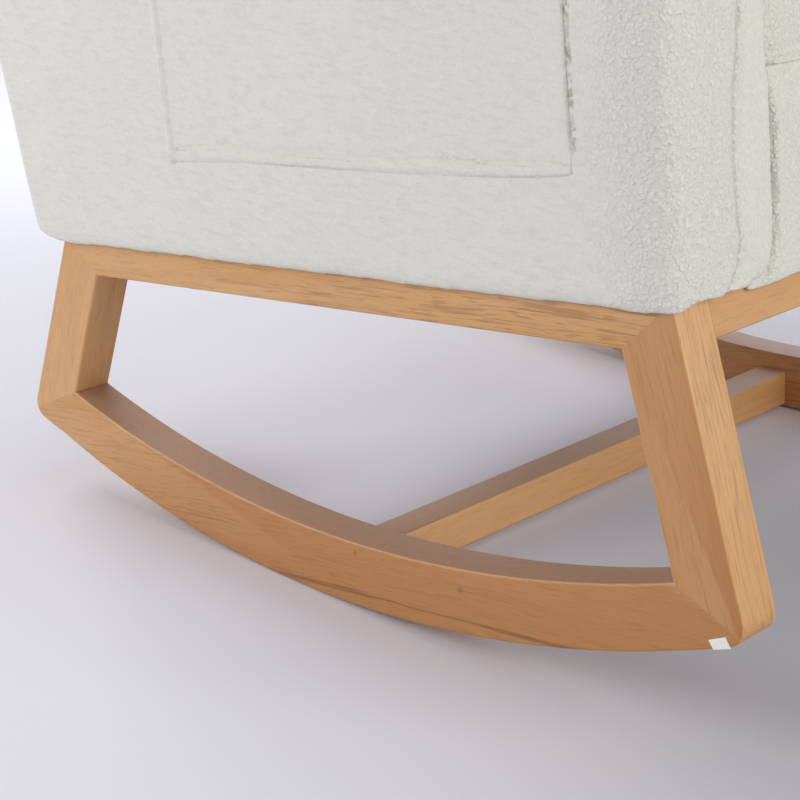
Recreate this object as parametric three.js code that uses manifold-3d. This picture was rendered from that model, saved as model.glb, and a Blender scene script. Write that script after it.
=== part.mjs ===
// A nursery rocking chair: an upholstered body on two mitred side frames with curved rockers.
// Millimetres, +Z up. The chair faces -Y and its width runs along X.
// The pieces are laid out in the chair's own upright frame, where z = 0 is the lower edge of the
// upholstery, and the whole chair is then leaned back onto the rockers' resting flat.
import * as THREE from "three";
import { mergeVertices } from "three/addons/utils/BufferGeometryUtils.js";
import Module from "manifold-3d";

const wasm = await Module();
wasm.setup();

// Side frames
const baseWidth = 604; // outer face to outer face
const frameBoard = 33.6; // thickness of every board in a side frame
const railLength = 600; // top rail, along its outer corners
const railDepth = 32;
const railCovered = 6.2; // part of the rail's depth that the upholstery hides
const railFront = -253.5;
const frontLegAngle = 12.1; // degrees from upright, foot forward
const frontLegWidth = 45.1;
const rearLegAngle = 26.6; // degrees from upright, foot backward
const rearLegWidth = 45.7;
const rockerRadius = 937.7; // underside
const rockerTopRadius = 980;
const rockerDrop = 246.7; // lowest point of the underside, below z = 0
const rockerWaist = 48.8; // rocker's depth at its lowest point
const rockerShift = -40.3; // underside's centre, from the middle of the top rail
const rockerTopShift = -8.1; // upper arc's centre, from the underside's
const rockerEndRound = 15; // reach of the rounding at each end of a rocker
const restTilt = 6.676; // degrees that the chair leans back when it stands empty
const underFacet = 3.6; // degrees of arc in each flat of the underside
const leastFlat = 0.1; // least share of a flat beside a rounded end
const topFacet = 2.5;
const crossRailThickness = 34;
const frontRailDepth = 28.6;
const stretcherHeight = 31.2;
const stretcherThickness = 30.8;
const stretcherFromCentre = 62; // behind the underside's centre
const stretcherInset = 1.2; // kept above the rocker's underside
const dowelDiameter = 8;
const dowelLength = 40;
const dowelSpread = 15;

// Seat box
const boxFrontBoard = 28;
const boxRearBoard = 20;
const boxSideBoard = 25;
const boxHeight = 92;
const boxInset = 12; // side boards' outer faces, inside the side frames' outer faces
const boxFrontInset = 9.5; // front board, behind the rail's front corner
const cornerBlockLeg = 55;
const cornerBlockHeight = 50;
const boltDiameter = 8;
const boltHeadDiameter = 13;
const boltHeadHeight = 8;
const boltLength = 82;
const boltSocket = 6; // across the key's flats
const boltSocketDepth = 4.8;
const boltHeadSunk = 1; // heads, above the top rail's underside
const barrelDiameter = 12;
const barrelLength = 20;
const boltFrontOffset = 105; // front bolts, behind the front corner of the rail
const boltRearOffset = 100; // rear bolts, in front of its rear corner
const springWire = 3.8;
const springCount = 4;
const springPitch = 60;
const springSpread = 0.75; // of the seat's width, between the outer springs
const springTail = 6; // straight wire past the board's inner face
const springEndInset = 3; // wire's ends, inside the boards' outer faces
const springSwing = 22;
const springCrown = 4;
const clipWidth = 14;
const clipDepth = 10;
const clipWall = 2; // above the wire
const deckThickness = 16;
const dustCoverThickness = 1.5;

// Upholstery
const coverOverhang = 8; // side upholstery, outside the side frames
const coverFront = 8.5; // arm fronts, ahead of the rail's front corner
const armWidth = 97;
const armHeight = 350;
const armWall = 15; // padding round the arm's frame
const armEdge = 20;
const armBoard = 18;
const apronRecess = 9;
const apronThickness = 9;
const apronEdge = 3;
const apronTuck = 10; // cloth below z = 0, trimmed off
const cushionThickness = 84;
const cushionCrown = 16;
const cushionDrawIn = 5;
const cushionRecess = 6;
const cushionLift = 0.3; // above the deck
const cushionEdge = 24;
const cushionFromBack = 8.4; // ahead of the back's uncrowned face
const cushionRearLean = 0.8; // of the back's lean
const cushionSideGap = 1;
const pocketWidth = 380;
const pocketHeight = 190;
const pocketBottom = 72;
const pocketShift = -49.5; // pocket's middle, from the middle of the top rail
const pocketRoom = 6.5;
const pocketWall = 3.5;
const pocketHem = 8;

// Back
const backLean = 8.92; // degrees, from the chair's own upright
const backOverhang = 27.5; // outer face of the back at z = 0, behind the rail's rear corner
const backHeight = 795;
const backSideStep = 7; // back's sides, inside the arms' outer faces
const backDepth = 125;
const backTopNarrowing = 14; // on each side
const backEdge = 32;
const backCrown = 14;
const backFoam = 16;
const backPanel = 3.5;
const backPostThickness = 11;
const backPostDepth = 85;
const backRailHeight = 40;
const backRailThickness = 18;
const strapWidth = 50;
const strapThickness = 2;
const strapCount = 3;
const strapBelowArm = 125; // lowest strap, below the arms' tops
const strapSpacing = 160;
const padFloor = 1.6; // lower edge of the back pad, above the deck
const postTopInset = 42; // tops of the back's posts, below the back's top
const lowerRailRise = 30; // lower rail of the back, above the deck
const strapInset = 2; // strap ends, inside the posts' outer faces
const panelBottom = 5; // outer back panel's lower edge, above the foot of the back

const stickerWidth = 16;
const stickerHeight = 11;
const stickerThickness = 0.3;
const stickerRise = 7.7; // middle, above the rocker's underside
const stickerGap = 0.05;
const stickerPast = 0.3; // degrees along the underside, past the front end's rounding

const gap = 0.3; // between neighbouring pieces
const holeClearance = 0.3; // round a pin in its hole
const past = 1; // reach of a cutting or joining shape past the face it goes through
const roundSides = 20;

const radians = THREE.MathUtils.degToRad;
const halfBase = baseWidth / 2;
const railTop = railCovered;
const railBottom = railCovered - railDepth;
const railRear = railFront + railLength;
const railMiddle = railFront + railLength / 2;
const backFoot = railRear + backOverhang;
const pocketMiddle = railMiddle + pocketShift;
const coverOuter = halfBase + coverOverhang;
const backWidth = 2 * (coverOuter - backSideStep);
const frameInner = halfBase - frameBoard;

const underCentre = new THREE.Vector2(railMiddle + rockerShift, rockerRadius - rockerDrop);
const topCentre = new THREE.Vector2(
  underCentre.x + rockerTopShift,
  rockerTopRadius - rockerDrop + rockerWaist,
);

const finish = {
  oak: { color: 0xc9935a, roughness: 0.5, metalness: 0 },
  innerWood: { color: 0xd9bd90, roughness: 0.75, metalness: 0 },
  sherpa: { color: 0xdddcd2, roughness: 0.95, metalness: 0 },
  sherpaPanel: { color: 0xd4d3c9, roughness: 0.95, metalness: 0 },
  steel: { color: 0x8d9094, roughness: 0.35, metalness: 1 },
  webbing: { color: 0x4b4a47, roughness: 0.9, metalness: 0 },
  darkCloth: { color: 0x2b2b2d, roughness: 0.95, metalness: 0 },
  sticker: { color: 0xf2f2ee, roughness: 0.5, metalness: 0 },
};

function piece(name, geometry, look) {
  const mesh = new THREE.Mesh(geometry, new THREE.MeshStandardMaterial(look));
  mesh.name = name;
  return mesh;
}

// Solids and cuts

function toSolid(geometry) {
  const bare = new THREE.BufferGeometry();
  bare.setAttribute("position", geometry.getAttribute("position").clone());
  bare.setIndex(geometry.index);
  const merged = mergeVertices(bare, 1e-4);
  return new wasm.Manifold(
    new wasm.Mesh({
      numProp: 3,
      vertProperties: merged.attributes.position.array,
      triVerts: new Uint32Array(merged.index.array),
    }),
  );
}

function toGeometry(solid) {
  const mesh = solid.getMesh();
  const geometry = new THREE.BufferGeometry();
  geometry.setAttribute("position", new THREE.BufferAttribute(mesh.vertProperties, 3));
  geometry.setIndex(new THREE.BufferAttribute(mesh.triVerts, 1));
  const flat = geometry.toNonIndexed();
  flat.computeVertexNormals();
  return flat;
}

function cut(geometry, tools) {
  let solid = toSolid(geometry);
  for (const tool of tools) solid = solid.subtract(toSolid(tool));
  return toGeometry(solid);
}

function meet(geometry, others) {
  let solid = toSolid(geometry);
  for (const other of others) solid = solid.intersect(toSolid(other));
  return toGeometry(solid);
}

function join(geometry, others) {
  let solid = toSolid(geometry);
  for (const other of others) solid = solid.add(toSolid(other));
  return toGeometry(solid);
}

// Basic shapes

function block([x0, x1], [y0, y1], [z0, z1]) {
  const box = new THREE.BoxGeometry(x1 - x0, y1 - y0, z1 - z0);
  return box.translate((x0 + x1) / 2, (y0 + y1) / 2, (z0 + z1) / 2);
}

// An outline of (y, z) points, extruded along X from x0 to x1.
function sideways(outline, x0, x1) {
  const shape = new THREE.Shape(outline);
  const geometry = new THREE.ExtrudeGeometry(shape, { depth: x1 - x0, bevelEnabled: false });
  const turn = new THREE.Matrix4().makeBasis(
    new THREE.Vector3(0, 1, 0),
    new THREE.Vector3(0, 0, 1),
    new THREE.Vector3(1, 0, 0),
  );
  return geometry.applyMatrix4(turn).translate(x0, 0, 0);
}

// A rod between two points.
function rod(diameter, from, to, sides = roundSides) {
  const along = new THREE.Vector3().subVectors(to, from);
  const geometry = new THREE.CylinderGeometry(diameter / 2, diameter / 2, along.length(), sides);
  const turn = new THREE.Quaternion().setFromUnitVectors(
    new THREE.Vector3(0, 1, 0),
    along.clone().normalize(),
  );
  const middle = new THREE.Vector3().addVectors(from, to).multiplyScalar(0.5);
  return geometry.applyQuaternion(turn).translate(middle.x, middle.y, middle.z);
}

// A padded block: edge rounds its edges, crown lifts the middle of its top, and draw pulls its four
// sides in at mid height between their corners.
function padded([x0, x1], [y0, y1], [z0, z1], { edge, crown = 0, draw = 0, steps }) {
  const half = new THREE.Vector3((x1 - x0) / 2, (y1 - y0) / 2, (z1 - z0) / 2);
  const round = Math.min(edge, half.x, half.y, half.z);
  const geometry = new THREE.BoxGeometry(2, 2, 2, ...steps);
  const position = geometry.getAttribute("position");
  const point = new THREE.Vector3();
  const inner = new THREE.Vector3();
  const core = half.clone().subScalar(round);
  const crowd = (t) => 1.5 * t - 0.5 * t ** 3;
  for (let i = 0; i < position.count; i++) {
    point.fromBufferAttribute(position, i);
    const [u, v, w] = point.toArray().map(crowd);
    point.set(u * half.x, v * half.y, w * half.z);
    inner.copy(point).clamp(core.clone().negate(), core);
    const out = point.clone().sub(inner);
    point.copy(inner).addScaledVector(out.normalize(), round);
    const swell = (1 - u * u) * (1 - v * v);
    if (w > 0) point.z += crown * swell * w;
    const waist = draw * (1 - w * w);
    point.x -= waist * u ** 5 * (1 - v * v);
    point.y -= waist * v ** 5 * (1 - u * u);
    position.setXYZ(i, point.x + (x0 + x1) / 2, point.y + (y0 + y1) / 2, point.z + (z0 + z1) / 2);
  }
  geometry.computeVertexNormals();
  return geometry;
}

function reshape(geometry, move) {
  const position = geometry.getAttribute("position");
  const point = new THREE.Vector3();
  for (let i = 0; i < position.count; i++) {
    point.fromBufferAttribute(position, i);
    move(point);
    position.setXYZ(i, point.x, point.y, point.z);
  }
  geometry.computeVertexNormals();
  return geometry;
}

// Both sides of the chair: side is -1 on the sitter's right and 1 on the left.
const sides = [
  { label: "right", side: -1 },
  { label: "left", side: 1 },
];

function span(side, inner, outer) {
  return side < 0 ? [-outer, -inner] : [inner, outer];
}

// Side frame outlines, as (y, z) points

// A straight edge through (y, 0), leaning so that y changes by slope for each millimetre upward.
function edgeAt(y, slope) {
  return (z) => new THREE.Vector2(y + slope * z, z);
}

// Where that edge meets the lower half of an arc.
function meetArc(edge, centre, radius) {
  const start = edge(0);
  const along = edge(1).sub(start).normalize();
  const toCentre = start.clone().sub(centre);
  const b = toCentre.dot(along);
  const c = toCentre.lengthSq() - radius ** 2;
  const reach = -b - Math.sqrt(b * b - c);
  return start.addScaledVector(along, reach);
}

function arcAngle(point, centre) {
  return Math.atan2(point.x - centre.x, centre.y - point.y);
}

function arcPoint(centre, radius, angle) {
  return new THREE.Vector2(centre.x + radius * Math.sin(angle), centre.y - radius * Math.cos(angle));
}

// One leg's two edges, its inner corner on the rocker, and the rounded end that both share.
function legLines(angle, width, cornerY, facing) {
  const slope = facing * Math.tan(radians(angle));
  const outer = edgeAt(cornerY, slope);
  const inner = edgeAt(cornerY + (facing * width) / Math.cos(radians(angle)), slope);
  const outerFoot = meetArc(outer, underCentre, rockerRadius);
  const innerFoot = meetArc(inner, topCentre, rockerTopRadius);
  const upLeg = outer(1).sub(outer(0)).normalize();
  const legRound = outerFoot.clone().addScaledVector(upLeg, rockerEndRound);
  const footAngle = arcAngle(outerFoot, underCentre);
  const turnIn = (facing * rockerEndRound) / rockerRadius;
  const arcRound = arcPoint(underCentre, rockerRadius, footAngle + turnIn);
  const nose = new THREE.QuadraticBezierCurve(legRound, outerFoot, arcRound).getPoints(6);
  return { outer, inner, innerFoot, upLeg, nose, roundAngle: footAngle + turnIn };
}

const frontLines = legLines(frontLegAngle, frontLegWidth, railFront, 1);
const rearLines = legLines(rearLegAngle, rearLegWidth, railRear, -1);

// How far a leg's end moves along the leg to leave the gap at a mitre from a to b.
function mitreStep(a, b, upLeg) {
  const mitre = b.clone().sub(a).normalize();
  return gap / Math.abs(mitre.x * upLeg.y - mitre.y * upLeg.x);
}

function legOutline({ outer, inner, innerFoot, upLeg, nose }) {
  const topOuter = outer(railTop);
  const topInner = inner(railBottom);
  const down = mitreStep(topOuter, topInner, upLeg);
  const up = mitreStep(innerFoot, nose[3], upLeg);
  return [
    topOuter.addScaledVector(upLeg, -down),
    topInner.addScaledVector(upLeg, -down),
    innerFoot.clone().addScaledVector(upLeg, up),
    nose[3].clone().addScaledVector(upLeg, up),
    ...nose.slice(0, 3).reverse(),
  ];
}

function railOutline() {
  return [
    frontLines.outer(railTop),
    frontLines.inner(railBottom),
    rearLines.inner(railBottom),
    rearLines.outer(railTop),
  ];
}

// The underside is made of flats, one of them level with the floor when the chair rests on it.
function rockerOutline() {
  const under = [];
  const flat = radians(underFacet);
  const rest = radians(restTilt);
  const first = Math.ceil((frontLines.roundAngle - rest) / flat - 0.5 + leastFlat);
  for (let k = first; rest + (k + 0.5 + leastFlat) * flat < rearLines.roundAngle; k++) {
    under.push(arcPoint(underCentre, rockerRadius, rest + (k + 0.5) * flat));
  }
  const over = [];
  const from = arcAngle(rearLines.innerFoot, topCentre);
  const to = arcAngle(frontLines.innerFoot, topCentre);
  const count = Math.round((from - to) / radians(topFacet));
  for (let k = 0; k <= count; k++) {
    over.push(arcPoint(topCentre, rockerTopRadius, from + ((to - from) * k) / count));
  }
  return [...frontLines.nose.slice(3), ...under, ...rearLines.nose.slice(3).reverse(), ...over];
}

// Stretcher between the rockers, square to the underside there.
const stretcherAngle = Math.asin(stretcherFromCentre / rockerRadius);
const stretcherCentre = arcPoint(
  underCentre,
  rockerRadius - stretcherInset - stretcherHeight / 2,
  stretcherAngle,
);

function stretcherPoint(across, up) {
  const c = Math.cos(stretcherAngle);
  const s = Math.sin(stretcherAngle);
  return new THREE.Vector2(
    stretcherCentre.x + across * c - up * s,
    stretcherCentre.y + across * s + up * c,
  );
}

function stretcherDowels(side) {
  return [-1, 1].map((row) => {
    const place = stretcherPoint(0, (row * dowelSpread) / 2);
    const ends = span(side, frameInner - dowelLength / 2, frameInner + dowelLength / 2);
    const [from, to] = ends.map((x) => new THREE.Vector3(x, place.x, place.y));
    return { from, to };
  });
}

function holeRound({ from, to }, diameter) {
  const reach = new THREE.Vector3().subVectors(to, from).setLength(holeClearance);
  return rod(diameter + 2 * holeClearance, from.clone().sub(reach), to.clone().add(reach));
}

// Bolts up through the top rails into barrel nuts in the seat box
const boxOuter = halfBase - boxInset;
const boxInner = boxOuter - boxSideBoard;
const boxBottom = railTop + gap;
const boxTop = boxBottom + boxHeight;
const boltAcross = (boxInner + boxOuter) / 2;
const boltPlaces = [
  { end: "front", y: railFront + boltFrontOffset },
  { end: "rear", y: railRear - boltRearOffset },
];
const boltHeadBottom = railBottom + boltHeadSunk;
const barrelHeight = boltHeadBottom + boltLength - barrelDiameter;

function boltPath(side, y) {
  const x = side * boltAcross;
  return {
    head: new THREE.Vector3(x, y, boltHeadBottom),
    neck: new THREE.Vector3(x, y, boltHeadBottom + boltHeadHeight),
    tip: new THREE.Vector3(x, y, boltHeadBottom + boltLength),
  };
}

function boltHole(side, y) {
  const { head, neck, tip } = boltPath(side, y);
  const below = head.clone().setZ(railBottom - past);
  const recess = rod(boltHeadDiameter + 2 * holeClearance, below, neck.clone().setZ(neck.z + gap));
  const through = rod(boltDiameter + 2 * holeClearance, below, tip.clone().setZ(tip.z + gap));
  return join(recess, [through]);
}

function bolt(side, y) {
  const { head, neck, tip } = boltPath(side, y);
  const shank = rod(boltDiameter, neck.clone().setZ(neck.z - past), tip);
  const body = join(rod(boltHeadDiameter, head, neck), [shank]);
  const socketTop = head.clone().setZ(head.z + boltSocketDepth);
  return cut(body, [rod(boltSocket, head.clone().setZ(head.z - past), socketTop, 6)]);
}

function crosswise(diameter, [from, to], y) {
  return rod(
    diameter,
    new THREE.Vector3(from, y, barrelHeight),
    new THREE.Vector3(to, y, barrelHeight),
  );
}

function barrelNut(side, y) {
  const body = crosswise(barrelDiameter, span(side, boxInner, boxInner + barrelLength), y);
  return cut(body, [boltHole(side, y)]);
}

function barrelHole(side, y) {
  const open = span(side, boxInner - past, boxInner + barrelLength + gap);
  return crosswise(barrelDiameter + 2 * holeClearance, open, y);
}

// A rail between the side frames, thickness behind its face, which follows the legs' outer edges.
function crossRailOutline(face, depth, thickness) {
  const behind = new THREE.Vector2(thickness, 0);
  const [top, bottom] = [face(railTop), face(railTop - depth)];
  return [top, bottom, bottom.clone().add(behind), top.clone().add(behind)];
}

function buildBase() {
  const base = new THREE.Group();
  for (const { label, side } of sides) {
    const [x0, x1] = span(side, frameInner, halfBase);
    const boltHoles = boltPlaces.map(({ y }) => boltHole(side, y));
    const dowels = stretcherDowels(side);
    const dowelHoles = dowels.map((dowel) => holeRound(dowel, dowelDiameter));
    base.add(
      piece(label + "_top_rail", cut(sideways(railOutline(), x0, x1), boltHoles), finish.oak),
      piece(label + "_front_leg", sideways(legOutline(frontLines), x0, x1), finish.oak),
      piece(label + "_rear_leg", sideways(legOutline(rearLines), x0, x1), finish.oak),
      piece(label + "_rocker", cut(sideways(rockerOutline(), x0, x1), dowelHoles), finish.oak),
    );
    dowels.forEach(({ from, to }, i) => {
      const name = label + "_stretcher_dowel_" + ["lower", "upper"][i];
      base.add(piece(name, rod(dowelDiameter, from, to), finish.innerWood));
    });
  }

  const railSpan = [-(frameInner - gap), frameInner - gap];
  const frontRail = crossRailOutline(frontLines.outer, frontRailDepth, crossRailThickness);
  const rearRail = crossRailOutline(rearLines.outer, railDepth, -crossRailThickness);
  const h = stretcherHeight / 2;
  const t = stretcherThickness / 2;
  const stretcherOutline = [
    stretcherPoint(-t, -h),
    stretcherPoint(t, -h),
    stretcherPoint(t, h),
    stretcherPoint(-t, h),
  ];
  const stretcher = sideways(stretcherOutline, ...railSpan);
  const allDowelHoles = sides.flatMap(({ side }) =>
    stretcherDowels(side).map((dowel) => holeRound(dowel, dowelDiameter)),
  );
  base.add(
    piece("front_cross_rail", sideways(frontRail, ...railSpan), finish.oak),
    piece("rear_cross_rail", sideways(rearRail.reverse(), ...railSpan), finish.oak),
    piece("rocker_stretcher", cut(stretcher, allDowelHoles), finish.oak),
  );
  return base;
}

// Seat box
const boxFront = railFront + boxFrontInset;
const backTan = Math.tan(radians(backLean));
const backCos = Math.cos(radians(backLean));

// Y of a plane in the back that lies depth in front of its outer face, at height z.
function backPlane(depth, z) {
  return backFoot + z * backTan - depth / backCos;
}

const strapFrontDepth = backDepth - backFoam - gap;
const postFrontDepth = strapFrontDepth - strapThickness - gap;
const postRearDepth = postFrontDepth - backPostDepth;
const postOuter = boxInner - gap;
const postInner = postOuter - backPostThickness;
const boxRear = backPlane(postRearDepth + backPostDepth / 2, boxBottom) - gap;
const deckBottom = boxTop + gap + springWire + springCrown + gap;
const deckTop = deckBottom + deckThickness;
const seatHalf = coverOuter - armWidth - gap;
const springPlaces = Array.from({ length: springCount }, (_, i) => {
  return 2 * seatHalf * springSpread * (i / (springCount - 1) - 0.5);
});

class SpringLine extends THREE.Curve {
  constructor(x, from, to) {
    super();
    Object.assign(this, { x, from, to });
    this.tail = boxFrontBoard + springTail;
    this.waves = Math.round((to - from - 2 * this.tail) / springPitch);
  }
  getPoint(t, target = new THREE.Vector3()) {
    const y = this.from + (this.to - this.from) * t;
    const run = (y - this.from - this.tail) / (this.to - this.from - 2 * this.tail);
    const inside = run > 0 && run < 1;
    const swing = inside ? springSwing * Math.sin(2 * Math.PI * this.waves * run) : 0;
    const crown = springCrown * Math.sin(Math.PI * t);
    return target.set(this.x + swing, y, boxTop + gap + springWire / 2 + crown);
  }
}

function spring(x) {
  const line = new SpringLine(x, boxFront + springEndInset, boxRear - springEndInset);
  const section = new THREE.Shape();
  section.absarc(0, 0, springWire / 2, 0, 2 * Math.PI);
  const stepsPerWave = 6;
  const stepsPerPoint = 1.4;
  const start = line.tail / (line.to - line.from);
  const tailShares = [0, 0.3, 0.6, 0.9];
  const count = line.waves * stepsPerWave;
  const waveShares = Array.from({ length: count - 1 }, (_, k) => (k + 1) / count);
  const points = [
    ...tailShares.map((share) => line.getPoint(start * share)),
    ...waveShares.map((share) => line.getPoint(start + (1 - 2 * start) * share)),
    ...tailShares.toReversed().map((share) => line.getPoint(1 - start * share)),
  ];
  const path = new THREE.CatmullRomCurve3(points, false, "centripetal");
  return new THREE.ExtrudeGeometry(section, {
    steps: Math.round(points.length * stepsPerPoint),
    curveSegments: 3,
    extrudePath: path,
  });
}

// A clip on the board's top edge, bent over the wire's straight tail.
function springClip(x, y) {
  const outside = block(
    [x - clipWidth / 2, x + clipWidth / 2],
    [y - clipDepth / 2, y + clipDepth / 2],
    [boxTop - past, boxTop + springWire + clipWall],
  );
  const wireRoom = block(
    [x - springWire / 2 - 2 * gap, x + springWire / 2 + 2 * gap],
    [y - clipDepth / 2 - past, y + clipDepth / 2 + past],
    [boxTop, boxTop + springWire + 3 * gap],
  );
  return cut(outside, [wireRoom]);
}

function buildSeatBox() {
  const seat = new THREE.Group();
  const height = [boxBottom, boxTop];
  const frontBoard = block([-boxOuter, boxOuter], [boxFront, boxFront + boxFrontBoard], height);
  const rearX = [-(postInner - gap), postInner - gap];
  const rearBoard = block(rearX, [boxRear - boxRearBoard, boxRear], height);
  const frontClips = springPlaces.map((x) => springClip(x, boxFront + boxFrontBoard / 2));
  const rearClips = springPlaces.map((x) => springClip(x, boxRear - boxRearBoard / 2));
  const innerY = [boxFront + boxFrontBoard + gap, boxRear - boxRearBoard - gap];
  seat.add(
    piece("seat_front_board", join(frontBoard, frontClips), finish.innerWood),
    piece("seat_rear_board", join(rearBoard, rearClips), finish.innerWood),
  );
  for (const { label, side } of sides) {
    const holes = boltPlaces.flatMap(({ y }) => [boltHole(side, y), barrelHole(side, y)]);
    const board = cut(block(span(side, boxInner, boxOuter), [innerY[0], boxRear], height), holes);
    seat.add(piece("seat_" + label + "_board", board, finish.innerWood));
    for (const { end, y } of boltPlaces) {
      const corner = end + "_" + label;
      seat.add(
        piece("base_bolt_" + corner, bolt(side, y), finish.steel),
        piece("barrel_nut_" + corner, barrelNut(side, y), finish.steel),
        piece("corner_block_" + corner, cornerBlock(side, end, innerY), finish.innerWood),
      );
    }
  }
  springPlaces.forEach((x, i) => {
    seat.add(piece("seat_spring_" + (i + 1), spring(x), finish.steel));
  });
  const coverX = postInner - gap;
  const dustSpan = [boxBottom, boxBottom + dustCoverThickness];
  const deckSpan = [boxFront, boxRear];
  seat.add(
    piece("dust_cover", block([-coverX, coverX], innerY, dustSpan), finish.darkCloth),
    piece("seat_deck", block([-seatHalf, seatHalf], deckSpan, [deckBottom, deckTop]), finish.darkCloth),
  );
  return seat;
}

// A three-cornered block glued into a corner of the box.
function cornerBlock(side, end, [y0, y1]) {
  const x = side * (end === "front" ? boxInner - gap : postInner - gap);
  const y = end === "front" ? y0 : y1;
  const inward = end === "front" ? 1 : -1;
  const outline = new THREE.Shape([
    new THREE.Vector2(x, y),
    new THREE.Vector2(x - side * cornerBlockLeg, y),
    new THREE.Vector2(x, y + inward * cornerBlockLeg),
  ]);
  const options = { depth: cornerBlockHeight, bevelEnabled: false };
  const geometry = new THREE.ExtrudeGeometry(outline, options);
  return geometry.translate(0, 0, boxBottom + dustCoverThickness + gap);
}

// Arms
const coverInner = coverOuter - armWidth;
const coverFrontY = railFront - coverFront;
const armRoomInner = coverInner + armWall;
const armRoomOuter = coverOuter - armWall;
const armRoomTop = armHeight - armWall;

// Room below the upholstery for the rails and legs.
function railRoom() {
  const clear = halfBase + gap;
  const along = [railFront - 2 * gap, railRear + 2 * gap];
  return block([-clear, clear], along, [-railDepth, railTop + gap]);
}

function armCover(side) {
  const rear = backPlane(backPanel + gap, 0);
  const low = -2 * armEdge; // its rounded lower edge is trimmed off at z = 0
  const body = padded(span(side, coverInner, coverOuter), [coverFrontY, rear], [low, armHeight], {
    edge: armEdge,
    steps: [6, 14, 10],
  });
  const length = rear - coverFrontY;
  reshape(body, (point) => {
    const back = (point.y - coverFrontY) / length;
    point.y += back * backTan * point.z;
  });
  const roomY = [boxFront - gap, backPlane(-armEdge, armHeight)];
  const room = block(span(side, armRoomInner, armRoomOuter), roomY, [low - past, armRoomTop]);
  const padRear = backDepth - backFoam + gap;
  const levels = [low - past, armHeight + past];
  const behindPad = sideways(
    [
      new THREE.Vector2(backPlane(padRear, levels[0]), levels[0]),
      new THREE.Vector2(backPlane(-armEdge, levels[0]), levels[0]),
      new THREE.Vector2(backPlane(-armEdge, levels[1]), levels[1]),
      new THREE.Vector2(backPlane(padRear, levels[1]), levels[1]),
    ],
    ...span(side, coverInner - past, armRoomOuter),
  );
  const across = [-coverOuter - past, coverOuter + past];
  const below = block(across, [coverFrontY - past, roomY[1]], [low - past, 0]);
  const seatBoxRoom = block([-armRoomOuter, armRoomOuter], roomY, [low, boxTop + gap]);
  return cut(body, [room, behindPad, below, railRoom(), seatBoxRoom]);
}

// A patch pocket sewn on along its sides and bottom, and open at the top.
function sidePocket(side) {
  const inner = coverOuter + gap;
  const outer = inner + pocketRoom + pocketWall;
  const y = [pocketMiddle - pocketWidth / 2, pocketMiddle + pocketWidth / 2];
  const z = [pocketBottom, pocketBottom + pocketHeight];
  const patch = padded(span(side, inner - pocketWall, outer), y, z, {
    edge: pocketWall,
    steps: [2, 10, 8],
  });
  const behind = block(
    span(side, inner - pocketWall - past, inner),
    [y[0] - past, y[1] + past],
    [z[0] - past, z[1] + past],
  );
  const room = block(
    span(side, inner - past, inner + pocketRoom),
    [y[0] + pocketHem, y[1] - pocketHem],
    [z[0] + pocketHem, z[1] + past],
  );
  return cut(patch, [behind, room]);
}

function buildArms() {
  const arms = new THREE.Group();
  const boardX = [armRoomInner + gap, armRoomOuter - gap];
  const boardTop = armRoomTop - gap;
  const boardBottom = boardTop - armBoard;
  for (const { label, side } of sides) {
    const postX = span(side, armRoomInner + gap, boxOuter);
    const post = block(postX, [boxFront, boxFront + boxFrontBoard], [boxTop + gap, boardBottom - gap]);
    const boardEnd = backPlane(postFrontDepth, boardBottom) - gap;
    const board = block(span(side, ...boardX), [boxFront, boardEnd], [boardBottom, boardTop]);
    arms.add(
      piece(label + "_arm_post", post, finish.innerWood),
      piece(label + "_arm_top_board", board, finish.innerWood),
      piece(label + "_arm_cover", armCover(side), finish.sherpa),
      piece(label + "_side_pocket", sidePocket(side), finish.sherpaPanel),
    );
  }
  return arms;
}

// Front apron and seat cushion
function frontApron() {
  const front = coverFrontY + apronRecess;
  const rear = front + apronThickness - gap;
  const body = padded([-seatHalf, seatHalf], [front, rear], [-apronTuck, deckTop], {
    edge: apronEdge,
    steps: [8, 2, 6],
  });
  const across = [-seatHalf - past, seatHalf + past];
  const below = block(across, [front - past, rear + past], [-apronTuck - past, 0]);
  return cut(body, [railRoom(), below]);
}

function seatCushion() {
  const bottom = deckTop + cushionLift;
  const front = coverFrontY + cushionRecess;
  const rear = backPlane(backDepth + cushionFromBack, bottom);
  const half = seatHalf - cushionSideGap;
  const body = padded([-half, half], [front, rear], [bottom, bottom + cushionThickness], {
    edge: cushionEdge,
    crown: cushionCrown,
    draw: cushionDrawIn,
    steps: [14, 14, 6],
  });
  return reshape(body, (point) => {
    const back = THREE.MathUtils.clamp((point.y - front) / (rear - front), 0, 1);
    point.y += back * backTan * (point.z - bottom) * cushionRearLean;
  });
}

// Back: its padded pieces and cross members lie in its own leaned frame, whose y = 0 is its outer
// face.
function leanedBack() {
  const leaned = new THREE.Group();
  leaned.position.y = backFoot;
  leaned.rotation.x = -radians(backLean);
  leaned.updateMatrix();
  return leaned;
}

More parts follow.
